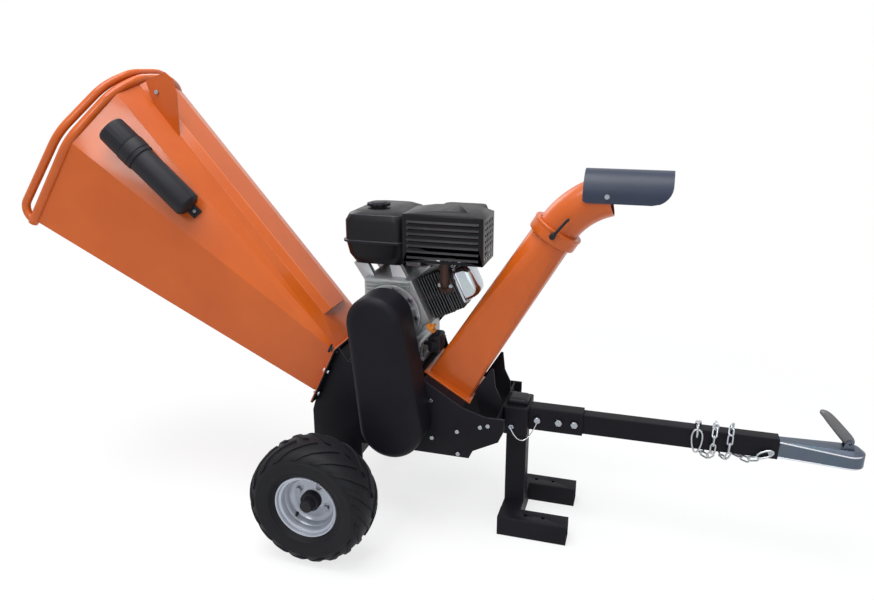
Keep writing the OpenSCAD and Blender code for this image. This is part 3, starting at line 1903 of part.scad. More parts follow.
side_plates();
housing_shell();
engine_deck();
front_box();
axle();
near_tyre();
near_rim();
near_hub_cap();
far_tyre();
far_rim();
far_hub_cap();
belt_guard();
guard_back();
v_belts();
bearings();
counter_knife();
rotor_shaft();
rotor_drum();
knives();
rotor_pulley();
hopper_body();
hopper_cover();
rim_tube();
guard_tube();
bolts();
throat_handle();
doc_tube();
doc_cap();
chute();
swivel_collar();
clamp_lever();
elbow();
deflector();
crankcase();
side_cover();
cylinder_barrel();
cylinder_head();
rocker_cover();
muffler();
muffler_guard();
fuel_tank();
fuel_cap();
air_cleaner();
carburettor();
recoil_housing();
control_box();
engine_switch();
throttle_lever();
choke_lever();
fuel_tap();
oil_cap();
crankshaft();
drive_pulley();
stand();
hitch_pin();
tow_bar();
coupler();
coupler_lever();
ball_clamp();
safety_chain();
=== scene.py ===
import bpy
import bmesh
import json
import math
from mathutils import Matrix, Vector

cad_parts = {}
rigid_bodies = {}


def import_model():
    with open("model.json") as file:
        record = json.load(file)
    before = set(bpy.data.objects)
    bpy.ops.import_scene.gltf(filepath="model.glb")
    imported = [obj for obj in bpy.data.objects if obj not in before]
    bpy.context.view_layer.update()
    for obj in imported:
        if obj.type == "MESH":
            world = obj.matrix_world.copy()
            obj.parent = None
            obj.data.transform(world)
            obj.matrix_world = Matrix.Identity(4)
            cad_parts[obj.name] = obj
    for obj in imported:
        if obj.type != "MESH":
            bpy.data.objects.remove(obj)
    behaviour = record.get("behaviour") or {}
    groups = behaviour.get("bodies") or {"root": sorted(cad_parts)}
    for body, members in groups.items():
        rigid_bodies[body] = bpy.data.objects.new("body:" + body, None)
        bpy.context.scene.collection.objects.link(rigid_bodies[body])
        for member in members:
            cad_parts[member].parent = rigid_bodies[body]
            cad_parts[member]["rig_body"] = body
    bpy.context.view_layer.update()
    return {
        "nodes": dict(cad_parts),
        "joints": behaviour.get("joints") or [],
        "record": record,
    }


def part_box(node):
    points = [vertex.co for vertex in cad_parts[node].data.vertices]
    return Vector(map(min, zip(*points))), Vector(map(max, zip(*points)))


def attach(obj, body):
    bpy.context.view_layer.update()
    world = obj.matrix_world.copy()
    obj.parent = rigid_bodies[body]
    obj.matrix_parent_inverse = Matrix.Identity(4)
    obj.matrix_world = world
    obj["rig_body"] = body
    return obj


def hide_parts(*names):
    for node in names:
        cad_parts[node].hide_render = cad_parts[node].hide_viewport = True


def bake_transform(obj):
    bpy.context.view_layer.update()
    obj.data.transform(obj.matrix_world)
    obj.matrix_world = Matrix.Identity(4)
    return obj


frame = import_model()


# Studio: a white floor and sky under a wide overhead softbox, with a weak front fill, a small lamp that
# glints on the hopper's near bevel and a rim light behind. The camera stands off the near side; its
# place and lens were worked out from the wheel, the tow bar and the stand in the photograph.
def shade(code):
    parts = [int(code[i:i + 2], 16) / 255 for i in (1, 3, 5)]
    return tuple(p / 12.92 if p <= 0.04045 else ((p + 0.055) / 1.055) ** 2.4 for p in parts) + (1.0,)


def add(tree, kind, settings=None, **sockets):
    made = tree.nodes.new(kind if "Node" in kind else "ShaderNode" + kind)
    for key, value in (settings or {}).items():
        setattr(made, key, value)
    for key, value in sockets.items():
        by_place = key[0] == "i" and key[1:].isdigit()
        socket = made.inputs[int(key[1:])] if by_place else made.inputs[key.replace("_", " ")]
        for source in value if isinstance(value, list) else [value]:
            if isinstance(source, bpy.types.NodeSocket):
                tree.links.new(source, socket)
            else:
                socket.default_value = source
    return made


def new_material(name):
    made = bpy.data.materials.new(name)
    made.use_nodes = True
    made.node_tree.nodes.clear()
    return made, made.node_tree, add(made.node_tree, "TexCoord").outputs["Object"]


def backdrop_rays(tree):
    """1 for the rays that meet plain white: camera, transmission and glossy rays."""
    ray = add(tree, "LightPath").outputs
    larger = {"operation": "MAXIMUM"}
    direct = add(tree, "Math", larger, i0=ray["Is Camera Ray"], i1=ray["Is Transmission Ray"])
    return add(tree, "Math", larger, i0=direct.outputs[0], i1=ray["Is Glossy Ray"]).outputs[0]


scene = bpy.context.scene
scene.view_settings.view_transform = "Standard"

camera = bpy.data.objects.new("camera", bpy.data.cameras.new("camera"))
scene.collection.objects.link(camera)
camera.data.sensor_width = 36
camera.data.lens = 30.2
camera.location = (0.607, -1.97, 1.30)
look_x, look_y, look_down = -0.284, 0.9588, math.radians(17.2)
look = Vector((look_x * math.cos(look_down), look_y * math.cos(look_down), -math.sin(look_down)))
camera.rotation_euler = look.to_track_quat("-Z", "Y").to_euler()
scene.camera = camera

for lamp_name, place, aim, size, watts in (
        ("overhead_softbox", (-0.4, -0.7, 4.2), (0.0, 0.0, 0.4), 3.0, 165),
        ("front_fill", (2.6, -3.6, 2.2), (0.1, 0.0, 0.5), 2.6, 18),
        ("hopper_side_lamp", (-0.43, -2.8, 2.75), (-0.85, -0.2, 1.1), 0.7, 22),
        ("rear_rim_light", (-2.8, 2.4, 3.0), (-0.2, 0.0, 0.7), 2.0, 40)):
    lamp = bpy.data.objects.new(lamp_name, bpy.data.lights.new(lamp_name, "AREA"))
    lamp.data.size = size
    lamp.data.energy = watts
    lamp.location = place
    lamp.rotation_euler = (Vector(aim) - Vector(place)).to_track_quat("-Z", "Y").to_euler()
    scene.collection.objects.link(lamp)

sky = bpy.data.worlds.new("studio_sky")
scene.world = sky
sky.use_nodes = True
sky_tree = sky.node_tree
sky_tree.nodes.clear()
ambient = add(sky_tree, "Background", Color=shade("#DDE2E8"), Strength=0.5)
white = add(sky_tree, "Background", Color=(1, 1, 1, 1), Strength=1.0)
either = add(sky_tree, "MixShader", i0=backdrop_rays(sky_tree), i1=ambient.outputs[0], i2=white.outputs[0])
add(sky_tree, "OutputWorld", Surface=either.outputs[0])

floor_half, floor_z = 30, -0.0005
floor_corners = [(x * floor_half, y * floor_half, floor_z) for x, y in ((-1, -1), (1, -1), (1, 1), (-1, 1))]
floor_mesh = bpy.data.meshes.new("floor")
floor_mesh.from_pydata(floor_corners, [], [(0, 1, 2, 3)])
floor = bpy.data.objects.new("floor", floor_mesh)
scene.collection.objects.link(floor)
floor_paint, floor_tree, floor_at = new_material("studio_floor_paint")
mottle = add(floor_tree, "TexNoise", Vector=floor_at, Scale=1.5)
floor_tone = add(floor_tree, "ValToRGB", Fac=mottle.outputs["Fac"])
floor_tone.color_ramp.elements[0].color = shade("#F4F5F6")
floor_tone.color_ramp.elements[1].color = shade("#FCFCFC")
floor_skin = add(floor_tree, "BsdfDiffuse", Color=floor_tone.outputs["Color"])
glow = add(floor_tree, "Emission", Color=(1, 1, 1, 1), Strength=1.0)
# The shadow shows under the machine and fades into plain white before the picture's edge.
away = add(floor_tree, "VectorMath", {"operation": "LENGTH"}, i0=floor_at)
fade = add(floor_tree, "MapRange", {"interpolation_type": "SMOOTHSTEP"}, Value=away.outputs["Value"],
           From_Min=0.9, From_Max=2.4, To_Min=0.74, To_Max=1.0)
lift = add(floor_tree, "Math", {"operation": "MULTIPLY"}, i0=backdrop_rays(floor_tree), i1=fade.outputs[0])
floor_mix = add(floor_tree, "MixShader", i0=lift.outputs[0], i1=floor_skin.outputs[0], i2=glow.outputs[0])
add(floor_tree, "OutputMaterial", Surface=floor_mix.outputs[0])
floor_mesh.materials.append(floor_paint)


# Chassis: two profiled side plates with the drum casing, engine deck and front sleeve between them,
# and the belt guard bolted to the near side. Laser-cut plate and folded sheet, welded and powder
# coated black: a slightly rough, dusty skin with fine orange peel. Its edges are painted paler, partly
# as rubbed wear and partly as a painted highlight where they round over.
def powder_coat(name, colour, deep, rough, peel_mm, peel, shine=0.5, **sockets):
    drift_mm, smear_mm = 240, 38
    made, tree, at = new_material(name)
    drift = add(tree, "TexNoise", Vector=at, Scale=1000 / drift_mm, Detail=3.0, Roughness=0.6)
    tone = add(tree, "ValToRGB", Fac=drift.outputs["Fac"])
    for stop, place, code in zip(tone.color_ramp.elements, (0.3, 0.7), (deep, colour)):
        stop.position, stop.color = place, shade(code)
    smear = add(tree, "TexNoise", Vector=at, Scale=1000 / smear_mm, Detail=4.0)
    gloss = add(tree, "MapRange", Value=smear.outputs["Fac"], To_Min=rough - 0.07, To_Max=rough + 0.09)
    grain = add(tree, "TexNoise", Vector=at, Scale=1000 / peel_mm, Detail=2.0)
    skin = add(tree, "Bump", Height=grain.outputs["Fac"], Strength=peel, Distance=0.0006)
    paint = add(tree, "BsdfPrincipled", Base_Color=tone.outputs["Color"], Roughness=gloss.outputs[0],
                Normal=skin.outputs[0], Specular_IOR_Level=shine, **sockets)
    add(tree, "OutputMaterial", Surface=paint.outputs[0])
    return made


def settle(piece, body, slot, *nodes):
    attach(piece, body)
    if nodes:
        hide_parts(*nodes)
    return piece


def plain_mesh(piece, sharp):
    bpy.context.view_layer.update()
    done = bpy.data.meshes.new_from_object(piece.evaluated_get(bpy.context.evaluated_depsgraph_get()))
    rough_mesh = piece.data
    piece.modifiers.clear()
    piece.data = done
    bpy.data.meshes.remove(rough_mesh)
    done.name = piece.name
    for face in done.polygons:
        face.use_smooth = True
    done.set_sharp_from_angle(angle=math.radians(sharp))


def soften(piece, width_mm, angle):
    edge = piece.modifiers.new("edge", "BEVEL")
    edge.width = width_mm / 1000
    edge.segments = 2
    edge.limit_method = "ANGLE"
    edge.angle_limit = math.radians(angle)
    # The bevel faces take the second finish: painted edge wear and highlight.
    edge.material = 1


def thicken(piece, wall_mm, offset):
    thick = piece.modifiers.new("thick", "SOLIDIFY")
    thick.thickness = wall_mm / 1000
    thick.offset = offset


def mesh_of(name, work):
    bmesh.ops.recalc_face_normals(work, faces=work.faces)
    mesh = bpy.data.meshes.new(name)
    work.to_mesh(mesh)
    work.free()
    return mesh


def dress(node, finish, soft=0.8, keep_angle=38, edge_wear_and_highlight_finish=None, fit=None):
    """Copy of a CAD node with soft edges in a second finish of painted edge wear and highlight; fit moves
    each of its points.
    """
    source = frame["nodes"][node]
    work = bmesh.new()
    work.from_mesh(source.data)
    bmesh.ops.remove_doubles(work, verts=work.verts, dist=2e-5)
    bmesh.ops.dissolve_limit(work, angle_limit=math.radians(0.7), verts=work.verts, edges=work.edges)
    for vert in work.verts if fit else ():
        vert.co = fit(vert.co)
    mesh = bpy.data.meshes.new(node + "_skin")
    work.to_mesh(mesh)
    work.free()
    mesh.materials.clear()
    mesh.materials.append(finish)
    mesh.materials.append(edge_wear_and_highlight_finish or finish)
    piece = bpy.data.objects.new(node + "_skin", mesh)
    scene.collection.objects.link(piece)
    if soft:
        soften(piece, soft, keep_angle)
    plain_mesh(piece, keep_angle)
    slot = next(p["material_slot"] for p in frame["record"]["subparts"] if p["node"] == node)
    return settle(piece, source["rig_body"], slot, node)


def joined_rows(name, rows, ends="both"):
    """Skin over rows of points: ends closed at "both", at the "last" row, or the rows joined in a "ring"."""
    work = bmesh.new()
    rings = [[work.verts.new(p) for p in row] for row in rows]
    for one, two in zip(rings, rings[1:] + (rings[:1] if ends == "ring" else [])):
        for n in range(len(one)):
            m = (n + 1) % len(one)
            work.faces.new((one[n], one[m], two[m], two[n]))
    if ends == "both":
        work.faces.new(rings[0])
    if ends in ("both", "last"):
        work.faces.new(rings[-1])
    return mesh_of(name, work)


def finished(name, mesh, finish, sharp, wall=0.0, soft=0.0, edge_wear_and_highlight_finish=None, bend_angle=30, smooth=0):
    piece = bpy.data.objects.new(name, mesh)
    scene.collection.objects.link(piece)
    mesh.materials.append(finish)
    mesh.materials.append(edge_wear_and_highlight_finish or finish)
    if smooth:
        piece.modifiers.new("smooth", "SUBSURF").levels = smooth
    if wall:
        thicken(piece, wall, -1)
    if soft:
        soften(piece, soft, bend_angle)
    plain_mesh(piece, sharp)
    return piece


def circle(count):
    """Cosine and sine of each of count even steps round a turn."""
    return [(math.cos(2 * math.pi * k / count), math.sin(2 * math.pi * k / count)) for k in range(count)]


black_coat = powder_coat("black_powder_coat", "#15141B", "#0F0E14", rough=0.5, peel_mm=1.2, peel=0.22,
                         shine=0.13)
# Paler grey on the black coat's bevelled edges: partly rubbed wear, partly a painted highlight where the
# edges round over.
black_coat_edge_wear_and_highlight = powder_coat("black_powder_coat_rubbed_and_highlit", "#34343D", "#202027", rough=0.42, peel_mm=1.2, peel=0.1,
                         shine=0.3)
for plate in ("side_plates", "housing_shell", "engine_deck", "front_box", "axle", "guard_back"):
    dress(plate, black_coat, soft=1.0, keep_angle=30, edge_wear_and_highlight_finish=black_coat_edge_wear_and_highlight)

joints = {joint["name"]: joint for joint in frame["joints"]}
crank_at = Vector(joints["crank_spin"]["pos_m"])
rotor_at = Vector(joints["rotor_spin"]["pos_m"])
guard_low, guard_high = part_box("belt_guard")
guard_rise, guard_drop, guard_top_r, guard_foot_r = 0.012, 0.004, 0.080, 0.092
guard_ends = ((crank_at + Vector((0, 0, guard_rise)), guard_top_r),
              (rotor_at - Vector((0, 0, guard_drop)), guard_foot_r))
guard_edge_r, edge_steps, guard_sides = 0.024, 7, 128
guard_rows = []
for step in range(-1, edge_steps + 1):
    turn = math.radians(90) * max(step, 0) / edge_steps
    y = guard_high.y if step < 0 else guard_low.y + guard_edge_r * (1 - math.sin(turn))
    inset = guard_edge_r * (1 - math.cos(turn))
    row = []
    for x, z in circle(guard_sides):
        out = Vector((x, 0, z))
        spot, radius = max(guard_ends, key=lambda end: end[0].dot(out) + end[1])
        row.append(spot + out * (radius - inset) + Vector((0, y, 0)))
    guard_rows.append(row)
guard_mesh = joined_rows("belt_guard_skin", guard_rows, "last")
belt_cover = finished("belt_guard_skin", guard_mesh, black_coat, sharp=40, wall=2.5)
settle(belt_cover, "chassis", "black_paint", "belt_guard")


# Running gear: a low-pressure tyre with long slanted lugs on each deep pressed-steel rim. The tyre is
# matt black rubber with raised rings on its wall; the rim is painted silver, with four wheel nuts, a
# rubber valve and a stepped black hub cap over the axle's end.
def moulded(name, colour, rough, grain_mm, grain, shine=0.4):
    cloud_mm, cloud_share = 60, 0.3
    made, tree, at = new_material(name)
    cloud = add(tree, "TexNoise", Vector=at, Scale=1000 / cloud_mm, Detail=5.0, Roughness=0.65)
    tone = add(tree, "MixRGB", {"blend_type": "MULTIPLY"}, Fac=cloud_share, Color1=shade(colour),
               Color2=cloud.outputs["Color"])
    matt = add(tree, "MapRange", Value=cloud.outputs["Fac"], To_Min=rough - 0.08, To_Max=rough + 0.1)
    pores = add(tree, "TexNoise", Vector=at, Scale=1000 / grain_mm, Detail=2.0)
    skin = add(tree, "Bump", Height=pores.outputs["Fac"], Strength=grain, Distance=0.0008)
    body = add(tree, "BsdfPrincipled", Base_Color=tone.outputs[0], Roughness=matt.outputs[0],
               Normal=skin.outputs[0], Specular_IOR_Level=shine)
    add(tree, "OutputMaterial", Surface=body.outputs[0])
    return made


def lathe(name, profile, spot, finish, closed=True, wall=0.0, sharp=32, turns=96):
    """Turned piece: profile gives radius and distance along the axis in mm, spot places each point."""
    work = bmesh.new()
    rings = [[work.verts.new(spot(r * x, r * z, out)) for r, out in profile] for x, z in circle(turns)]
    count = len(profile)
    for k in range(turns):
        for i in range(count if closed else count - 1):
            j = (i + 1) % count
            work.faces.new((rings[k][i], rings[k][j], rings[(k + 1) % turns][j], rings[(k + 1) % turns][i]))
    bmesh.ops.remove_doubles(work, verts=work.verts, dist=1e-6)
    mesh = mesh_of(name, work)
    mesh.materials.append(finish)
    piece = bpy.data.objects.new(name, mesh)
    scene.collection.objects.link(piece)
    if wall:
        thicken(piece, wall, 0)
    plain_mesh(piece, sharp)
    return piece


def new_tree(name, **sizes):
    tree = bpy.data.node_groups.new(name, "GeometryNodeTree")
    tree.interface.new_socket("Geometry", in_out="INPUT", socket_type="NodeSocketGeometry")
    for label, kind in sizes.items():
        tree.interface.new_socket(label, in_out="INPUT", socket_type="NodeSocket" + kind)
    tree.interface.new_socket("Finish", in_out="INPUT", socket_type="NodeSocketMaterial")
    tree.interface.new_socket("Geometry", in_out="OUTPUT", socket_type="NodeSocketGeometry")
    return tree, tree.nodes.new("NodeGroupInput").outputs


def close_tree(tree, given, shape):
    real = add(tree, "GeometryNodeRealizeInstances", Geometry=shape)
    coat = add(tree, "GeometryNodeSetMaterial", Geometry=real.outputs[0], Material=given["Finish"])
    tree.links.new(coat.outputs[0], tree.nodes.new("NodeGroupOutput").inputs[0])
    return tree


def grow(name, mesh, tree, sizes, sharp=35):
    piece = bpy.data.objects.new(name, mesh)
    scene.collection.objects.link(piece)
    maker = piece.modifiers.new("maker", "NODES")
    maker.node_group = tree
    for socket in tree.interface.items_tree:
        if socket.in_out == "INPUT" and socket.name in sizes:
            maker[socket.identifier] = sizes[socket.name]
    plain_mesh(piece, sharp)
    return piece


ring_tree, given = new_tree("ring_about_the_axle", Count="Int", Centre="Vector", Start="Float")
spots = add(ring_tree, "GeometryNodePoints", Count=given["Count"], Position=given["Centre"])
pitch_angle = add(ring_tree, "Math", {"operation": "DIVIDE"}, i0=2 * math.pi, i1=given["Count"])
order = add(ring_tree, "GeometryNodeInputIndex")
turned = add(ring_tree, "Math", {"operation": "MULTIPLY_ADD"}, i0=order.outputs[0], i1=pitch_angle.outputs[0],
             i2=given["Start"])
euler = add(ring_tree, "CombineXYZ", Y=turned.outputs[0])
spin = add(ring_tree, "FunctionNodeEulerToRotation", Euler=euler.outputs[0])
copies = add(ring_tree, "GeometryNodeInstanceOnPoints", Points=spots.outputs[0], Instance=given["Geometry"],
             Rotation=spin.outputs[0])
close_tree(ring_tree, given, copies.outputs[0])

# Rubber and plastic keep a dull sheen, and the rim's paint glints on its steps. Their fine grain is drawn
# coarser than the real one, so that it shows.
tyre_rubber = moulded("tyre_rubber", "#121218", rough=0.62, grain_mm=2.4, grain=0.3, shine=0.22)
black_plastic = moulded("black_moulded_plastic", "#16161D", rough=0.5, grain_mm=1.4, grain=0.2, shine=0.25)
silver_paint = powder_coat("silver_rim_paint", "#B2B7C1", "#A1A6B1", rough=0.3, peel_mm=1.4, peel=0.12,
                           Metallic=0.3)
wheel_steel = powder_coat("wheel_nut_zinc", "#8F939A", "#7D8188", rough=0.3, peel_mm=1.1, peel=0.1,
                          Metallic=1.0)

crown = [(172, 0), (171.6, 18), (169.4, 38), (165, 53), (157, 64), (146, 70), (141.5, 71.4), (140.5, 72.4),
         (138.5, 72.3), (137, 71.8), (126, 72), (113, 69.6), (107, 67.4), (105.6, 68.3), (103.6, 67.5),
         (102.6, 65.4), (96.5, 60), (91.5, 53.4)]
bead_seat = [(86, 50), (82, 44), (82, -44), (86, -50)]
tyre_profile = crown + bead_seat + [(r, -out) for r, out in reversed(crown[1:])]
barrel_profile = [(88.6, 52.4), (90, 54), (89.2, 55), (87.2, 54.2), (85.6, 50.5), (84.6, 46), (79, 43.6),
                  (77, 40), (76.2, 27), (73, 23.4), (71.4, 19), (70.6, 8), (70, -18), (75, -38), (84, -47),
                  (87, -53), (89, -54.6)]
disc_profile = [(71, 9), (66, 3), (58, 0.4), (50, 3.4), (38, 4.2), (31, 7.5), (22, 8)]
hub_cap_profile = [(0, 8), (27, 8), (28, 9), (28, 27), (26, 30), (19.6, 31), (18.6, 32.5), (18.2, 51),
                   (16.4, 53.6), (9, 54.4), (0, 54.6)]
tread_r, lug_root, lug_foot = 177.4, 1.5, 2
lug_half, lug_flare, lug_fade = 7.5, 2.0, 0.35
lug_stations, lug_count, lug_slant = 11, 17, math.radians(34)
lug_from, lug_span = 0.3, 4.3
nut_count, nut_ring, nut_start = 4, 0.046, 0.5
nut_foot_r, nut_top_r, nut_high, nut_out = 0.0088, 0.0082, 0.011, 0.009
valve_turn, valve_ring, valve_out = math.radians(228), 0.068, 0.018
valve_inward, valve_sideways = 0.55, 0.83
valve_steps = [(5, 4, 18, 0), (2.8, 2.8, 16, 16), (3.6, 3.4, 9, 26)]
for side_name, side in (("near", -1), ("far", 1)):
    low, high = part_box(side_name + "_tyre")
    hub = (low + high) / 2
    body = side_name + "_wheel"

    def on_wheel(x, z, out, hub=hub, side=side):
        return hub + Vector((x, side * out, z)) / 1000

    tyre = lathe(side_name + "_tyre_carcass", tyre_profile, on_wheel, tyre_rubber, sharp=28)
    settle(tyre, body, "tyre", side_name + "_tyre")
    for half_name, half in (("outer", 1), ("inner", -1)):
        rows = []
        for k in range(lug_stations):
            t = k / (lug_stations - 1)
            place = lug_from + t * lug_span
            i = min(int(place), len(crown) - 2)
            r, out = (crown[i][n] + (crown[i + 1][n] - crown[i][n]) * (place - i) for n in (0, 1))
            across, down = crown[i + 1][1] - crown[i][1], crown[i + 1][0] - crown[i][0]
            size = math.hypot(across, down)
            rise = (tread_r - crown[0][0]) * (1 - lug_fade * t)
            wide = lug_half + lug_flare * t
            foot = wide + lug_foot
            row = []
            for lift_mm, spread in ((-lug_root, foot), (rise, wide), (rise, -wide), (-lug_root, -foot)):
                radius = r + lift_mm * across / size
                away_mm = out - lift_mm * down / size
                a = spread / r + lug_slant * t
                spot = Vector((radius * math.cos(a), side * half * away_mm, radius * math.sin(a)))
                row.append(spot / 1000)
            rows.append(row)
        start = 0.0 if half > 0 else math.pi / lug_count
        lugs = grow("%s_tyre_%s_lugs" % (side_name, half_name), joined_rows("lug", rows), ring_tree,
                    {"Count": lug_count, "Centre": hub, "Start": start, "Finish": tyre_rubber})
        settle(lugs, body, "tyre")
    rim = lathe(side_name + "_rim_barrel", barrel_profile, on_wheel, silver_paint, closed=False, wall=2.4)
    settle(rim, body, "rim_paint", side_name + "_rim")
    disc = lathe(side_name + "_rim_disc", disc_profile, on_wheel, silver_paint, closed=False, wall=3.0,
                 sharp=40)
    settle(disc, body, "rim_paint")
    cap = lathe(side_name + "_hub_cap_skin", hub_cap_profile, on_wheel, black_plastic, closed=False, sharp=40,
                turns=48)
    settle(cap, body, "black_plastic", side_name + "_hub_cap")
    work = bmesh.new()
    nut_turn = Matrix.Rotation(math.radians(-90 * side), 4, "X")
    nut_seat = Matrix.Translation((nut_ring, side * nut_out, 0)) @ nut_turn
    bmesh.ops.create_cone(work, cap_ends=True, segments=6, radius1=nut_foot_r, radius2=nut_top_r,
                          depth=nut_high, matrix=nut_seat)
    nuts = grow(side_name + "_wheel_nuts", mesh_of("nut", work), ring_tree,
                {"Count": nut_count, "Centre": hub, "Start": nut_start, "Finish": wheel_steel})
    settle(nuts, body, "rim_paint")
    work = bmesh.new()
    for r1, r2, long, mid in valve_steps:
        bmesh.ops.create_cone(work, cap_ends=True, segments=16, radius1=r1 / 1000, radius2=r2 / 1000,
                              depth=long / 1000, matrix=Matrix.Translation((0, 0, mid / 1000)))
    valve_mesh = mesh_of("valve", work)
    spoke = Vector((math.cos(valve_turn), 0, math.sin(valve_turn)))
    valve_at = hub + spoke * valve_ring + Vector((0, side * valve_out, 0))
    aim = Vector((0, side * valve_sideways, 0)) - spoke * valve_inward
    valve_mesh.transform(Matrix.Translation(valve_at) @ aim.to_track_quat("Z", "Y").to_matrix().to_4x4())
    valve_mesh.materials.append(tyre_rubber)
    valve = bpy.data.objects.new(side_name + "_tyre_valve", valve_mesh)
    scene.collection.objects.link(valve)
    settle(valve, body, "tyre")


# Rotor and belt drive: ground steel drum and knives on a bright shaft, cast pulleys and black V-belts.
# They sit inside the casing and the belt guard and only show through the hopper throat. Ground steel
# has a soft shine; the painted iron and the rubber stay dull.
def worked_metal(name, colour, rough, grit_mm, grit, metallic=1.0):
    stain_mm, stain_share = 45, 0.3
    made, tree, at = new_material(name)
    stain = add(tree, "TexNoise", Vector=at, Scale=1000 / stain_mm, Detail=5.0, Roughness=0.6)
    tone = add(tree, "MixRGB", {"blend_type": "MULTIPLY"}, Fac=stain_share, Color1=shade(colour),
               Color2=stain.outputs["Color"])
    matt = add(tree, "MapRange", Value=stain.outputs["Fac"], To_Min=rough - 0.1, To_Max=rough + 0.12)
    cut = add(tree, "TexNoise", Vector=at, Scale=1000 / grit_mm, Detail=3.0)
    skin = add(tree, "Bump", Height=cut.outputs["Fac"], Strength=grit, Distance=0.0006)
    body = add(tree, "BsdfPrincipled", Base_Color=tone.outputs[0], Metallic=metallic,
               Roughness=matt.outputs[0], Normal=skin.outputs[0])
    add(tree, "OutputMaterial", Surface=body.outputs[0])
    return made


ground_steel = worked_metal("ground_steel", "#B9BCC0", rough=0.34, grit_mm=0.9, grit=0.12)
cast_iron = worked_metal("painted_cast_iron", "#2A2A2D", rough=0.55, grit_mm=1.8, grit=0.35, metallic=0.3)
belt_rubber = moulded("belt_rubber", "#1D1D20", rough=0.7, grain_mm=1.0, grain=0.2)
for bright in ("counter_knife", "rotor_shaft", "rotor_drum", "knives", "crankshaft"):
    dress(bright, ground_steel, soft=0.4)
for cast in ("bearings", "rotor_pulley", "drive_pulley"):
    dress(cast, cast_iron, soft=0.6)
dress("v_belts", belt_rubber, soft=0.6)


# Feed hopper: folded 2.5 mm sheet, wide at the mouth and narrow at the throat, with a roof strip over
# its joint. It is welded, then powder coated a warm orange: semi-gloss, with a fine orange peel. A paler
# orange is painted along the sharp folds as a painted highlight.
lacquer = {"Coat_Weight": 0.3, "Coat_Roughness": 0.1}
orange_coat = powder_coat("orange_powder_coat", "#BF5714", "#B24D10", rough=0.34, peel_mm=1.6, peel=0.16,
                          shine=0.25, **lacquer)
# Paler orange on the bevelled folds and flange edges: a painted highlight.
orange_fold_highlight = powder_coat("orange_powder_coat_painted_fold_highlight", "#DB7E4E", "#CE6A38", rough=0.3, peel_mm=1.6, peel=0.08,
                          shine=0.4, **lacquer)
for panel in ("hopper_body", "hopper_cover"):
    dress(panel, orange_coat, soft=1.4, keep_angle=9, edge_wear_and_highlight_finish=orange_fold_highlight)


# Mouth tubes: a round tube welded round the hopper's mouth, and a thinner guard tube bent to stand
# off it. Steel tube, bent cold to an even radius and painted with the hopper.
def line_mesh(name, points, ring=False):
    mesh = bpy.data.meshes.new(name)
    count = len(points)
    links = [(i, (i + 1) % count) for i in range(count if ring else count - 1)]
    mesh.from_pydata([tuple(p) for p in points], links, [])
    return mesh


tube_tree, given = new_tree("bent_tube", Diameter="Float", Bend="Float", Sides="Int")
line = add(tube_tree, "GeometryNodeMeshToCurve", Mesh=given["Geometry"])
bent = add(tube_tree, "GeometryNodeFilletCurve", {"mode": "POLY"}, Curve=line.outputs[0], Count=10,
           Radius=given["Bend"], Limit_Radius=True)
half_d = add(tube_tree, "Math", {"operation": "MULTIPLY"}, i0=given["Diameter"], i1=0.5)
section = add(tube_tree, "GeometryNodeCurvePrimitiveCircle", Resolution=given["Sides"],
              Radius=half_d.outputs[0])
skin = add(tube_tree, "GeometryNodeCurveToMesh", Curve=bent.outputs[0], Profile_Curve=section.outputs[0],
           Fill_Caps=True)
close_tree(tube_tree, given, skin.outputs[0])


def tube_along(name, points, finish, diameter, bend=0.0, sides=12, sharp=60, ring=False):
    sizes = {"Diameter": diameter, "Bend": bend, "Sides": sides, "Finish": finish}
    return grow(name, line_mesh(name + "_path", points, ring), tube_tree, sizes, sharp)


# Lengths along the machine are measured from the axle.
axle_x = joints["near_wheel_spin"]["pos_m"][0]
mouth_foot = Vector((-0.910 + axle_x, 0, 0.878))
mouth_up = Vector((0.573, 0, 0.819)).normalized()
mouth_out = Vector((-mouth_up.z, 0, mouth_up.x))


def on_mouth(up_mm, y_mm, off_mm):
    return mouth_foot + mouth_up * up_mm / 1000 + mouth_out * off_mm / 1000 + Vector((0, y_mm / 1000, 0))


mouth_half, mouth_bend, rim_off, rim_foot_up = 250, 0.15, 13.2, -12
mouth_corners = [(285, -mouth_half), (445, -155), (486, -65), (486, 65), (445, 155), (285, mouth_half)]
rim_line = [(rim_foot_up, -mouth_half)] + mouth_corners + [(rim_foot_up, mouth_half)]
rim_path = [on_mouth(s, y, rim_off) for s, y in rim_line]
rim_tube = tube_along("mouth_rim_tube", rim_path, orange_coat, 0.0275, bend=mouth_bend, sides=24, sharp=35)
settle(rim_tube, "chassis", "orange_paint", "rim_tube")
sill_path = [on_mouth(0, y, rim_off) for y in (-mouth_half, mouth_half)]
sill = tube_along("mouth_sill_tube", sill_path, orange_coat, 0.025, sides=24, sharp=35)
settle(sill, "chassis", "orange_paint")
guard_foot_off, guard_lean, guard_foot_up, guard_weld_off = 59.2, 0.032, -2, 20
guard_line = [(guard_foot_up, -mouth_half)] + mouth_corners + [(guard_foot_up, mouth_half)]
guard_path = [on_mouth(s, y, guard_foot_off - guard_lean * s) for s, y in guard_line]
guard_path.insert(0, on_mouth(guard_foot_up, -mouth_half, guard_weld_off))
guard_path.append(on_mouth(guard_foot_up, mouth_half, guard_weld_off))
guard_tube = tube_along("mouth_guard_tube", guard_path, orange_coat, 0.0245, bend=mouth_bend, sides=24,
                        sharp=35)
settle(guard_tube, "chassis", "orange_paint", "guard_tube")


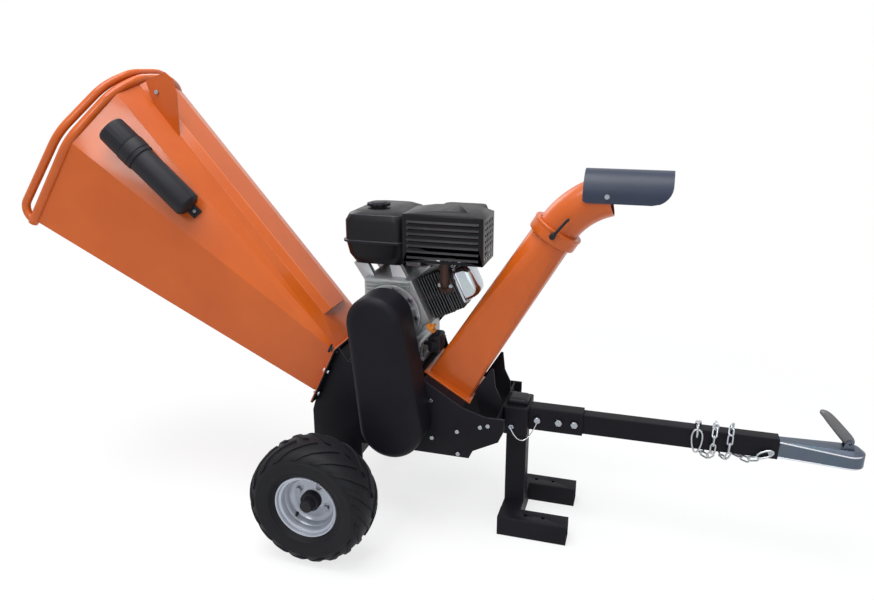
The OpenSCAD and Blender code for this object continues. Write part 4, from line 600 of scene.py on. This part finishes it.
# Document tube: a black moulded canister with a neck ring and a screw cap with grip flats, strapped to the
# hopper's near bevel, and the throat's small tee handle.
doc_mid = Vector(joints["doc_cap_turn"]["pos_m"])
doc_axis = Vector(joints["doc_cap_turn"]["axis"])
doc_side = doc_axis.cross(Vector((0, 1, 0))).normalized()
doc_up = doc_axis.cross(doc_side)
cap_points = frame["nodes"]["doc_cap"].data.vertices
doc_end = doc_mid + doc_axis * min((v.co - doc_mid).dot(doc_axis) for v in cap_points)
tube_radius, tube_swell = 0.0375, 1.06


def on_doc(x, z, out):
    return doc_end + doc_axis * out / 1000 + doc_side * x / 1000 + doc_up * z / 1000


def fuller(spot):
    along = doc_end + doc_axis * (spot - doc_end).dot(doc_axis)
    return along + (spot - along) * (tube_swell if (spot - along).length < tube_radius else 1)


dress("doc_tube", black_plastic, soft=1.0, fit=fuller)
neck_profile = [(37.6, 70.4), (41.6, 71.2), (42.4, 74), (42.4, 103), (40.4, 104.5), (40.4, 109), (42, 110.5),
                (42, 115.5), (40, 118), (37.6, 118)]
neck = lathe("doc_tube_neck_ring", neck_profile, on_doc, black_plastic)
settle(neck, "chassis", "black_plastic")
grip_profile = [(0, 0), (34, 0), (38.5, 1.5), (40.6, 6), (41, 63), (40.2, 67.5), (39.8, 69.4), (39.2, 69.4),
                (39.2, 4), (0, 4)]
cap = lathe("doc_cap_grip", grip_profile, on_doc, black_plastic, closed=False, sharp=12, turns=20)
settle(cap, "doc_cap", "black_plastic", "doc_cap")
dress("throat_handle", black_plastic, soft=0.5)


# Discharge chute: square folded foot drawn up to a round top, with a swivel collar and a bent spout,
# all orange. The deflector flap is dark slate plastic with a soft gloss, on two pivot bolts; a black
# lever locks the collar.
chute_foot = Vector((0.3065 + axle_x, 0, 0.4325))
chute_tilt = math.radians(58.5)
chute_up = Vector((math.cos(chute_tilt), 0, math.sin(chute_tilt)))
chute_front = Vector((math.sin(chute_tilt), 0, -math.cos(chute_tilt)))


def on_chute(x, y, up):
    return chute_foot + (chute_front * x + Vector((0, y, 0)) + chute_up * up) / 1000


chute_half, chute_top_r, chute_top = 69, 59, 513
work = bmesh.new()
four_ways = ((1, 1), (-1, 1), (-1, -1), (1, -1))
corners = [work.verts.new(on_chute(chute_half * x, chute_half * y, 4)) for x, y in four_ways]
top_ring = [work.verts.new(on_chute(chute_top_r * x, chute_top_r * y, chute_top)) for x, y in circle(12)]
for k in range(4):
    work.faces.new((corners[k - 1], corners[k], top_ring[3 * k]))
    for bend in range(3):
        work.faces.new((corners[k], top_ring[3 * k + bend], top_ring[(3 * k + bend + 1) % 12]))
chute = finished("chute_skin", mesh_of("chute_skin", work), orange_coat, sharp=20, wall=2.5, soft=1.6,
                 bend_angle=4)
settle(chute, "chassis", "orange_paint", "chute")
flange_rows = [[on_chute(x * half_x, y * half_y, up) for x, y in four_ways]
               for half_x, half_y, up in ((80, 98, 0), (80, 98, 5), (66.5, 66.5, 5), (66.5, 66.5, 0))]
flange_mesh = joined_rows("chute_foot_flange", flange_rows, "ring")
flange = finished("chute_foot_flange", flange_mesh, orange_coat, sharp=30, soft=1.0, edge_wear_and_highlight_finish=orange_fold_highlight)
settle(flange, "chassis", "orange_paint")

collar_profile = [(60, 511), (66, 512), (69.4, 514.5), (70, 517), (70, 543), (71.4, 545), (71.4, 549),
                  (70, 551), (57.6, 551), (57.6, 511)]
collar_band = lathe("swivel_collar_skin", collar_profile, on_chute, orange_coat, sharp=30)
settle(collar_band, "chassis", "orange_paint", "swivel_collar")

elbow_r, bend_r, bend_from, spigot_from, outlet_tilt = 56.5, 226, 541, 516, math.radians(15)
bend_steps, elbow_sides = 25, 64
elbow_rows = []
for k in range(-1, bend_steps + 1):
    turn = (chute_tilt - outlet_tilt) * max(k, 0) / bend_steps
    up = spigot_from if k < 0 else bend_from + bend_r * math.sin(turn)
    mid = on_chute(bend_r * (1 - math.cos(turn)), 0, up)
    outward = chute_up * math.sin(turn) - chute_front * math.cos(turn)
    elbow_rows.append([mid + (outward * c + Vector((0, s, 0))) * elbow_r / 1000
                       for c, s in circle(elbow_sides)])
elbow = finished("elbow_skin", joined_rows("elbow_skin", elbow_rows, "open"), orange_coat, sharp=40, wall=3.0)
settle(elbow, "spout", "orange_paint", "elbow")

flap_plastic = moulded("slate_moulded_plastic", "#2C3446", rough=0.4, grain_mm=2.0, grain=0.12, shine=0.3)
flap_pivot = Vector(joints["deflector_tilt"]["pos_m"])
flap_r, flap_drop, flap_back, flap_front = 64, 18, -62, 161
flap_nose, flap_heel, flap_cells = 50, 9, 20
flap_skirt = (flap_drop, 14, 10, 6, 3)
flap_arch = [math.radians(6 * k) for k in range(31)]
flap_line = [(-flap_r, -drop) for drop in flap_skirt]
flap_line += [(-flap_r * math.cos(a), flap_r * math.sin(a)) for a in flap_arch]
flap_line += [(flap_r, -drop) for drop in reversed(flap_skirt)]
work = bmesh.new()
flap_rows = []
for y, z in flap_line:
    high = z + flap_drop
    ends = []
    for radius in (flap_heel, flap_nose):
        ends.append(radius - math.sqrt(max(radius ** 2 - max(radius - high, 0) ** 2, 0)))
    x0, x1 = flap_back + ends[0], flap_front - ends[1]
    flap_rows.append([work.verts.new(flap_pivot + Vector((x0 + (x1 - x0) * k / flap_cells, y, z)) / 1000)
                      for k in range(flap_cells + 1)])
for one, two in zip(flap_rows, flap_rows[1:]):
    for k in range(flap_cells):
        work.faces.new((one[k], one[k + 1], two[k + 1], two[k]))
flap = finished("deflector_skin", mesh_of("deflector_skin", work), flap_plastic, sharp=40, wall=2.5)
settle(flap, "flap", "smoke_plastic", "deflector")

clamp_at = Vector(joints["clamp_lever_turn"]["pos_m"])
clamp_at.y = 0
clamp_tilt, clamp_sides = math.radians(50.5), 20
clamp_run = Vector((math.cos(clamp_tilt), 0, math.sin(clamp_tilt)))
clamp_rise = Vector((-clamp_run.z, 0, clamp_run.x))
rod_at = clamp_at + Vector((0, -0.081, 0))
rod_steps = [(-3.5, 2.0), (-3, 4.2), (0, 4.9), (20, 4.2), (52, 3.7), (56, 4.4), (60, 4.4), (63, 3.2),
             (64, 1.4)]
clamp_rows = [[rod_at + (clamp_run * along + (clamp_rise * c + Vector((0, s, 0))) * radius) / 1000
               for c, s in circle(clamp_sides)] for along, radius in rod_steps]
clamp_rod = finished("clamp_lever_rod", joined_rows("clamp_lever_rod", clamp_rows), black_plastic, sharp=40)
settle(clamp_rod, "clamp_lever", "black_plastic", "clamp_lever")


def on_clamp(x, z, out):
    return clamp_at + Vector((x, -out, z)) / 1000


clamp_hub_profile = [(0, 66), (6, 66), (6, 72), (8, 72.5), (8.4, 74), (8.4, 84), (7.4, 86), (4, 87), (0, 87)]
clamp_hub = lathe("clamp_lever_hub", clamp_hub_profile, on_clamp, black_plastic, closed=False, sharp=40,
                  turns=40)
settle(clamp_hub, "clamp_lever", "black_plastic")


# Engine: die-cast crankcase and cover, finned black cylinder and head with machined fin edges, plated
# rocker cover, black pressed tank, louvred silencer guard, air cleaner and recoil starter.
# The castings are dull with brighter edges, the plated cover mirrors, and the exhaust is burnt brown.
cast_alloy = worked_metal("die_cast_aluminium", "#A9ABAE", rough=0.46, grit_mm=1.6, grit=0.3, metallic=0.85)
cast_edge = worked_metal("die_cast_aluminium_edge", "#C9CBCE", rough=0.34, grit_mm=1.6, grit=0.1,
                         metallic=0.9)
plated = worked_metal("bright_plated_steel", "#C4CAD2", rough=0.14, grit_mm=1.5, grit=0.05)
hot_black = worked_metal("heat_proof_black", "#1A1A1D", rough=0.55, grit_mm=1.5, grit=0.25, metallic=0.2)
fin_edge = worked_metal("machined_fin_edge", "#8E9196", rough=0.36, grit_mm=1.2, grit=0.1, metallic=0.9)
burnt_steel = worked_metal("burnt_steel", "#4A3630", rough=0.55, grit_mm=1.3, grit=0.25, metallic=0.7)
tank_black = powder_coat("gloss_black_stove_enamel", "#121217", "#0C0C10", rough=0.36, peel_mm=3.0, peel=0.05,
                         shine=0.17)
# Paler enamel on the bevelled edges of the tank, recoil starter and silencer guard: a painted highlight.
tank_enamel_edge_highlight = powder_coat("gloss_black_enamel_painted_edge_highlight", "#2A2A33", "#1F1F26", rough=0.3, peel_mm=3.0, peel=0.05,
                        shine=0.3)
filler_amber = moulded("amber_moulded_plastic", "#C97A22", rough=0.45, grain_mm=1.0, grain=0.15)
for casting in ("crankcase", "side_cover", "carburettor"):
    dress(casting, cast_alloy, soft=1.2, keep_angle=34, edge_wear_and_highlight_finish=cast_edge)
for finned in ("cylinder_barrel", "cylinder_head"):
    dress(finned, hot_black, soft=0.5, keep_angle=38, edge_wear_and_highlight_finish=fin_edge)
cylinder_tilt = math.radians(25)
cylinder_x = Vector((math.cos(cylinder_tilt), 0, math.sin(cylinder_tilt)))
cylinder_z = Vector((-math.sin(cylinder_tilt), 0, math.cos(cylinder_tilt)))


def rounded(half_y, half_z, corner, steps=7):
    points = []
    for quarter, (y, z) in enumerate(four_ways):
        for k in range(steps):
            a = math.radians(90 * (quarter + k / (steps - 1)))
            points.append((y * (half_y - corner) + corner * math.cos(a),
                           z * (half_z - corner) + corner * math.sin(a)))
    return points


rocker_steps = [(204, 56, 58, 16), (209.5, 56, 58, 16), (210.2, 55, 57, 16), (210.4, 49.5, 51.5, 18),
                (213, 48, 50, 19), (232, 47, 49, 20), (242, 44.5, 46.5, 21), (248, 40, 42, 21),
                (252, 33, 35, 19), (253.8, 24, 26, 15)]
rocker_rows = []
for up, half_y, half_z, corner in rocker_steps:
    rocker_rows.append([crank_at + cylinder_x * up / 1000 + Vector((0, y / 1000, 0)) + cylinder_z * z / 1000
                        for y, z in rounded(half_y, half_z, corner)])
rocker = finished("rocker_cover_skin", joined_rows("rocker_cover_skin", rocker_rows), plated, sharp=44)
settle(rocker, "chassis", "steel", "rocker_cover")
dress("muffler", burnt_steel, soft=0.8)
dress("muffler_guard", tank_black, soft=0.6, keep_angle=30, edge_wear_and_highlight_finish=tank_enamel_edge_highlight)
tank_shoulder, tank_share = 0.850, 0.83
cap_seat, cap_seat_lowered, cap_share = 0.9493, 0.9323, 0.6
cleaner_x, cleaner_base, cleaner_wide, cleaner_high = -0.0136, 0.840, 0.86, 0.76


def lower_tank(spot):
    return Vector((spot.x, spot.y, min(spot.z, tank_shoulder + (spot.z - tank_shoulder) * tank_share)))


def lower_cap(spot):
    return Vector((spot.x, spot.y, cap_seat_lowered + (spot.z - cap_seat) * cap_share))


def slim_cleaner(spot):
    x = cleaner_x + (spot.x - cleaner_x) * cleaner_wide
    return Vector((x, spot.y, min(spot.z, cleaner_base + (spot.z - cleaner_base) * cleaner_high)))


dress("fuel_tank", tank_black, soft=1.5, keep_angle=34, edge_wear_and_highlight_finish=tank_enamel_edge_highlight, fit=lower_tank)
dress("fuel_cap", black_plastic, soft=0.8, fit=lower_cap)
dress("air_cleaner", black_plastic, soft=0.8, fit=slim_cleaner)
dress("recoil_housing", tank_black, soft=1.5, keep_angle=34, edge_wear_and_highlight_finish=tank_enamel_edge_highlight)
for moulding in ("control_box", "engine_switch", "throttle_lever", "choke_lever", "fuel_tap"):
    dress(moulding, black_plastic, soft=0.8)
dress("oil_cap", filler_amber, soft=0.6)


# Engine and deflector screws: hexagon heads with a pressed collar, zinc plated, on the bosses of the
# side cover, the corners of the rocker cover, the exhaust flange and the recoil starter; two more are
# the deflector's pivots.
zinc = worked_metal("zinc_plate", "#A9AFB8", rough=0.3, grit_mm=1.1, grit=0.1)
# The paler zinc on bevelled bolt corners and the coupler's rolled edges is a painted highlight; the lanyard
# wire takes it as its own pale colour.
zinc_edge = worked_metal("zinc_plate_edge", "#DDE1E6", rough=0.22, grit_mm=1.1, grit=0.05)
screw_tree, given = new_tree("hexagon_screws", Flats="Float", Height="Float")
corner_r = add(screw_tree, "Math", {"operation": "MULTIPLY"}, i0=given["Flats"], i1=1 / math.sqrt(3))
half_h = add(screw_tree, "Math", {"operation": "MULTIPLY"}, i0=given["Height"], i1=0.5)
lifted = add(screw_tree, "CombineXYZ", Z=half_h.outputs[0])
head = add(screw_tree, "GeometryNodeMeshCylinder", Vertices=6, Radius=corner_r.outputs[0],
           Depth=given["Height"])
raised = add(screw_tree, "GeometryNodeTransform", Geometry=head.outputs["Mesh"],
             Translation=lifted.outputs[0])
collar_r = add(screw_tree, "Math", {"operation": "MULTIPLY"}, i0=given["Flats"], i1=0.72)
collar = add(screw_tree, "GeometryNodeMeshCylinder", Vertices=28, Radius=collar_r.outputs[0],
             Depth=half_h.outputs[0])
screw = add(screw_tree, "GeometryNodeJoinGeometry", Geometry=[raised.outputs[0], collar.outputs["Mesh"]])
aimed = add(screw_tree, "GeometryNodeInputNamedAttribute", {"data_type": "FLOAT_VECTOR"}, Name="aim")
facing = add(screw_tree, "FunctionNodeAlignRotationToVector", {"axis": "Z"}, Vector=aimed.outputs[0])
screws = add(screw_tree, "GeometryNodeInstanceOnPoints", Points=given["Geometry"], Instance=screw.outputs[0],
             Rotation=facing.outputs[0])
close_tree(screw_tree, given, screws.outputs[0])


def screw_on(name, seats, aim, flats_mm, height_mm, body):
    mesh = bpy.data.meshes.new(name + "_seats")
    mesh.from_pydata([tuple(p) for p in seats], [], [])
    aims = mesh.attributes.new("aim", "FLOAT_VECTOR", "POINT")
    aims.data.foreach_set("vector", list(aim) * len(seats))
    sizes = {"Flats": flats_mm / 1000, "Height": height_mm / 1000, "Finish": zinc}
    piece = grow(name, mesh, screw_tree, sizes, sharp=30)
    return settle(piece, body, "steel")


near_face, far_face = Vector((0, -1, 0)), Vector((0, 1, 0))
cover_ring, cover_y, cover_screws = 0.079, -0.104, 9
cover_seats = [crank_at + Vector((cover_ring * x, cover_y, cover_ring * z)) for x, z in circle(cover_screws)]
screw_on("side_cover_screws", cover_seats, near_face, 10, 6, "chassis")
rocker_foot = crank_at + cylinder_x * 0.210
rocker_seats = [rocker_foot + Vector((0, y, 0)) + cylinder_z * z
                for y in (-0.0475, 0.0475) for z in (-0.0495, 0.0495)]
screw_on("rocker_cover_screws", rocker_seats, cylinder_x, 8, 5, "chassis")
starter_ring, starter_y = 0.101, 0.164
starter_seats = []
for k in range(4):
    a = math.radians(80 * k + 80)
    out = Vector((math.cos(a), 0, math.sin(a)))
    starter_seats.append(crank_at + out * starter_ring + far_face * starter_y)
screw_on("recoil_starter_screws", starter_seats, far_face, 8, 5, "chassis")
screw_on("deflector_near_pivot", [flap_pivot + near_face * flap_r / 1000], near_face, 9, 5, "flap")
screw_on("deflector_far_pivot", [flap_pivot + far_face * flap_r / 1000], far_face, 9, 5, "flap")
port = crank_at + cylinder_x * 0.179 + cylinder_z * 0.018 + near_face * 0.072
port_seats = [port + Vector((x, 0, 0)) for x in (-0.016, 0.016)]
screw_on("exhaust_flange_nuts", port_seats, near_face, 8, 6, "chassis")


# Stand and tow bar: box tube, black as the chassis. The stand's leg is held in the front sleeve and has
# two feet with anchor holes; the bar slides into its socket and is bolted there. A moulded cap closes
# the leg's top.
for tube in ("stand", "tow_bar"):
    dress(tube, black_coat, soft=1.6, keep_angle=30, edge_wear_and_highlight_finish=black_coat_edge_wear_and_highlight)

post_at, post_half = Vector((0.2764, 0, 0)), 30.4
cap_steps = [(379.6, 0.6, 6), (384, 0, 7), (388, 1.2, 8), (391, 4, 9), (392.6, 9, 10), (393.2, 16, 9)]
cap_rows = []
for high, inset, corner in cap_steps:
    half = post_half - inset
    cap_rows.append([post_at + Vector((x, y, high)) / 1000 for x, y in rounded(half, half, corner)])
post_cap_mesh = joined_rows("stand_post_end_cap", cap_rows)
post_cap = finished("stand_post_end_cap", post_cap_mesh, black_plastic, sharp=40)
settle(post_cap, "chassis", "black_plastic")


# Frame bolts: zinc-plated hexagon bolts through the flanges, side plates and tow bar. Bright and slightly
# blue, with paler corners that are a painted highlight.
dress("bolts", zinc, soft=0.6, keep_angle=30, edge_wear_and_highlight_finish=zinc_edge)


# Ball coupler: a pressed, zinc-plated shell with a sliding ball clamp inside. Its zinc is painted darker,
# a painted reflection of dark ground, and its rolled edges are painted pale as a highlight. The hand
# lever is a thick grey casting on a cross pin.
# The shell's zinc colour is darkened as a painted reflection of dark ground.
coupler_zinc_dark_reflection = worked_metal("coupler_zinc_painted_dark_reflection", "#626C7A", rough=0.36, grit_mm=2.2, grit=0.15)
dress("coupler", coupler_zinc_dark_reflection, soft=1.8, keep_angle=24, edge_wear_and_highlight_finish=zinc_edge)
dress("ball_clamp", zinc, soft=0.8)
nose_x, nose_bead_r, nose_turn, nose_steps = 1384, 36.2, 97, 24
tail_x, tail_half = 1213, 17
for bead_name, tail_z, nose_z in (("lower", 309.5, 311.5), ("upper", 353.5, 345)):
    bead_mm = [(tail_x, -tail_half, tail_z)]
    for k in range(nose_steps + 1):
        a = math.radians(-nose_turn + 2 * nose_turn * k / nose_steps)
        bead_mm.append((nose_x + nose_bead_r * math.cos(a), nose_bead_r * math.sin(a), nose_z))
    bead_mm.append((tail_x, tail_half, tail_z))
    bead_path = [Vector((x / 1000 + axle_x, y / 1000, z / 1000)) for x, y, z in bead_mm]
    bead = tube_along("coupler_%s_rolled_edge" % bead_name, bead_path, zinc_edge, 0.0045)
    settle(bead, "chassis", "steel")
lever_grey = worked_metal("dull_lever_casting", "#76777A", rough=0.5, grit_mm=1.8, grit=0.3, metallic=0.75)
lever_line = [(1389, 366, 16, 24), (1382, 373, 29, 24), (1366, 390, 29, 23), (1345, 413, 27, 22),
              (1326, 433, 25, 22), (1316, 443, 21, 21), (1307, 448, 16, 19), (1300, 450, 9, 15)]
lever_sides, lever_square = 20, 3
lever_rows = []
for i, (x, z, high, wide) in enumerate(lever_line):
    before, after = lever_line[max(i - 1, 0)], lever_line[min(i + 1, len(lever_line) - 1)]
    run = Vector((after[0] - before[0], 0, after[1] - before[1])).normalized()
    rise = Vector((-run.z, 0, run.x))
    row = []
    for c, s in circle(lever_sides):
        full = (abs(c) ** lever_square + abs(s) ** lever_square) ** (-1 / lever_square)
        spot = Vector((x, full * c * wide / 2, z)) + rise * full * s * high / 2
        row.append(spot / 1000 + Vector((axle_x, 0, 0)))
    lever_rows.append(row)
lever_mesh = joined_rows("coupler_lever_casting", lever_rows)
lever = finished("coupler_lever_casting", lever_mesh, lever_grey, sharp=50, smooth=1)
settle(lever, "coupler_lever", "steel", "coupler_lever")


# Hitch pin: a turned, zinc-plated steel pin with a flat head. A thin bright wire lanyard hangs from its
# head to a bolt on the stand's sleeve, so that the pin can't be lost.
pin_x, pin_z = 0.562 + axle_x, 0.333
pin_profile = [(0, 27.5), (6, 27.5), (6, -25.4), (9.5, -25.5), (9.5, -33.4), (8.4, -34.4), (0, -34.4)]


def on_pin(x, z, out):
    return Vector((pin_x, 0, pin_z)) + Vector((x, out, z)) / 1000


pin = lathe("hitch_pin_skin", pin_profile, on_pin, zinc, closed=False, turns=32)
settle(pin, "hitch_pin", "steel", "hitch_pin")

wire_from = Vector((pin_x, -0.0352, pin_z - 0.006))
wire_to = Vector((pin_x - 0.071, -0.0705, pin_z - 0.014))
wire_sag, wire_bow, wire_steps, wire_d = 0.046, 0.004, 32, 0.0032
wire_points = []
for k in range(wire_steps + 1):
    t = k / wire_steps
    p = wire_to.lerp(wire_from, t)
    wire_points.append(p - Vector((0, wire_bow * math.sin(math.pi * t), wire_sag * 4 * t * (1 - t))))
wire = tube_along("hitch_lanyard", wire_points, zinc_edge, wire_d, sides=10)
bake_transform(wire)


# Safety chain: welded links of galvanised wire, pale grey with a soft shine, from an eye at the bar's end.
# It is wound three times round the bar and closed with a pear-shaped snap hook on its near side.
chain_tree, given = new_tree("chain_links", Wire="Float", Length="Float", Width="Float", Pitch="Float")
line = add(chain_tree, "GeometryNodeMeshToCurve", Mesh=given["Geometry"])
chain_bend = 0.014
smooth = add(chain_tree, "GeometryNodeFilletCurve", {"mode": "POLY"}, Curve=line.outputs[0], Count=6,
             Radius=chain_bend, Limit_Radius=True)
spots = add(chain_tree, "GeometryNodeCurveToPoints", {"mode": "LENGTH"}, Curve=smooth.outputs[0],
            Length=given["Pitch"])
order = add(chain_tree, "GeometryNodeInputIndex")
parity = add(chain_tree, "Math", {"operation": "MODULO"}, i0=order.outputs[0], i1=2.0)
roll = add(chain_tree, "Math", {"operation": "MULTIPLY"}, i0=parity.outputs[0], i1=math.pi / 2)
rolled = add(chain_tree, "CombineXYZ", X=roll.outputs[0])
roll_turn = add(chain_tree, "FunctionNodeEulerToRotation", Euler=rolled.outputs[0])
along = add(chain_tree, "FunctionNodeAlignRotationToVector", {"axis": "X"}, Vector=spots.outputs["Tangent"])
turn = add(chain_tree, "FunctionNodeRotateRotation", {"rotation_space": "LOCAL"}, Rotation=along.outputs[0],
           Rotate_By=roll_turn.outputs[0])
mid_l = add(chain_tree, "Math", {"operation": "SUBTRACT"}, i0=given["Length"], i1=given["Wire"])
mid_w = add(chain_tree, "Math", {"operation": "SUBTRACT"}, i0=given["Width"], i1=given["Wire"])
outline = add(chain_tree, "GeometryNodeCurvePrimitiveQuadrilateral", Width=mid_l.outputs[0],
              Height=mid_w.outputs[0])
end_r = add(chain_tree, "Math", {"operation": "MULTIPLY"}, i0=mid_w.outputs[0], i1=0.499)
stadium = add(chain_tree, "GeometryNodeFilletCurve", {"mode": "POLY"}, Curve=outline.outputs[0], Count=6,
              Radius=end_r.outputs[0], Limit_Radius=True)
wire_r = add(chain_tree, "Math", {"operation": "MULTIPLY"}, i0=given["Wire"], i1=0.5)
wire_ring = add(chain_tree, "GeometryNodeCurvePrimitiveCircle", Resolution=10, Radius=wire_r.outputs[0])
link = add(chain_tree, "GeometryNodeCurveToMesh", Curve=stadium.outputs[0],
           Profile_Curve=wire_ring.outputs[0])
links = add(chain_tree, "GeometryNodeInstanceOnPoints", Points=spots.outputs["Points"],
            Instance=link.outputs[0], Rotation=turn.outputs[0])
close_tree(chain_tree, given, links.outputs[0])

galvanised = worked_metal("galvanised_steel", "#C3C7CD", rough=0.34, grit_mm=2.2, grit=0.15)
chain_mm = [(1151, -27, 300), (1134, -16, 291), (1112, 6, 289), (1100, 30, 297), (1096, 30, 366),
            (1092, 0, 373), (1088, -30, 368), (1087, -30, 300), (1078, -16, 286), (1068, 8, 288),
            (1060, 30, 297), (1055, 30, 366), (1051, 0, 373), (1047, -30, 368), (1046, -30, 300),
            (1036, -16, 284), (1024, -4, 284), (1012, 30, 297), (1007, 30, 366), (1004, 0, 373),
            (1003, -27, 368), (1003, -28, 360)]
chain_path = [Vector((x / 1000 + axle_x, y / 1000, z / 1000)) for x, y, z in chain_mm]
chain_sizes = {"Wire": 0.005, "Length": 0.034, "Width": 0.0175, "Pitch": 0.0242, "Finish": galvanised}
chain = grow("safety_chain_links", line_mesh("chain_path", chain_path), chain_tree, chain_sizes, sharp=60)
settle(chain, "chassis", "steel", "safety_chain")

hook_mid = Vector((1.003 + axle_x, -0.0265, 0.3315))
hook_half_w, hook_half_h, hook_taper, hook_round = 0.0135, 0.034, 0.28, 0.85
hook_points = []
for c, s in circle(40):
    wide = hook_half_w * (1 + hook_taper * c) * math.copysign(abs(s) ** hook_round, s)
    hook_points.append(hook_mid + Vector((wide, 0, hook_half_h * c)))
hook = tube_along("chain_snap_hook", hook_points, galvanised, 0.0052, ring=True)
settle(hook, "chassis", "steel")
eye_mid = Vector((1.1797 + axle_x, -0.0238, 0.3158))
eye_along = Vector((-0.894, 0, -0.447))
eye_up = Vector((0.447, 0, -0.894))
eye_long, eye_straight, eye_half_w, eye_round = 0.016, 0.006, 0.0088, 0.4
eye_points = []
for c, s in circle(28):
    reach = eye_long * c + math.copysign(eye_straight, c) * abs(c) ** eye_round
    eye_points.append(eye_mid + eye_along * reach + eye_up * eye_half_w * s)
eye = tube_along("chain_eye_link", eye_points, galvanised, 0.006, ring=True)
settle(eye, "chassis", "steel")
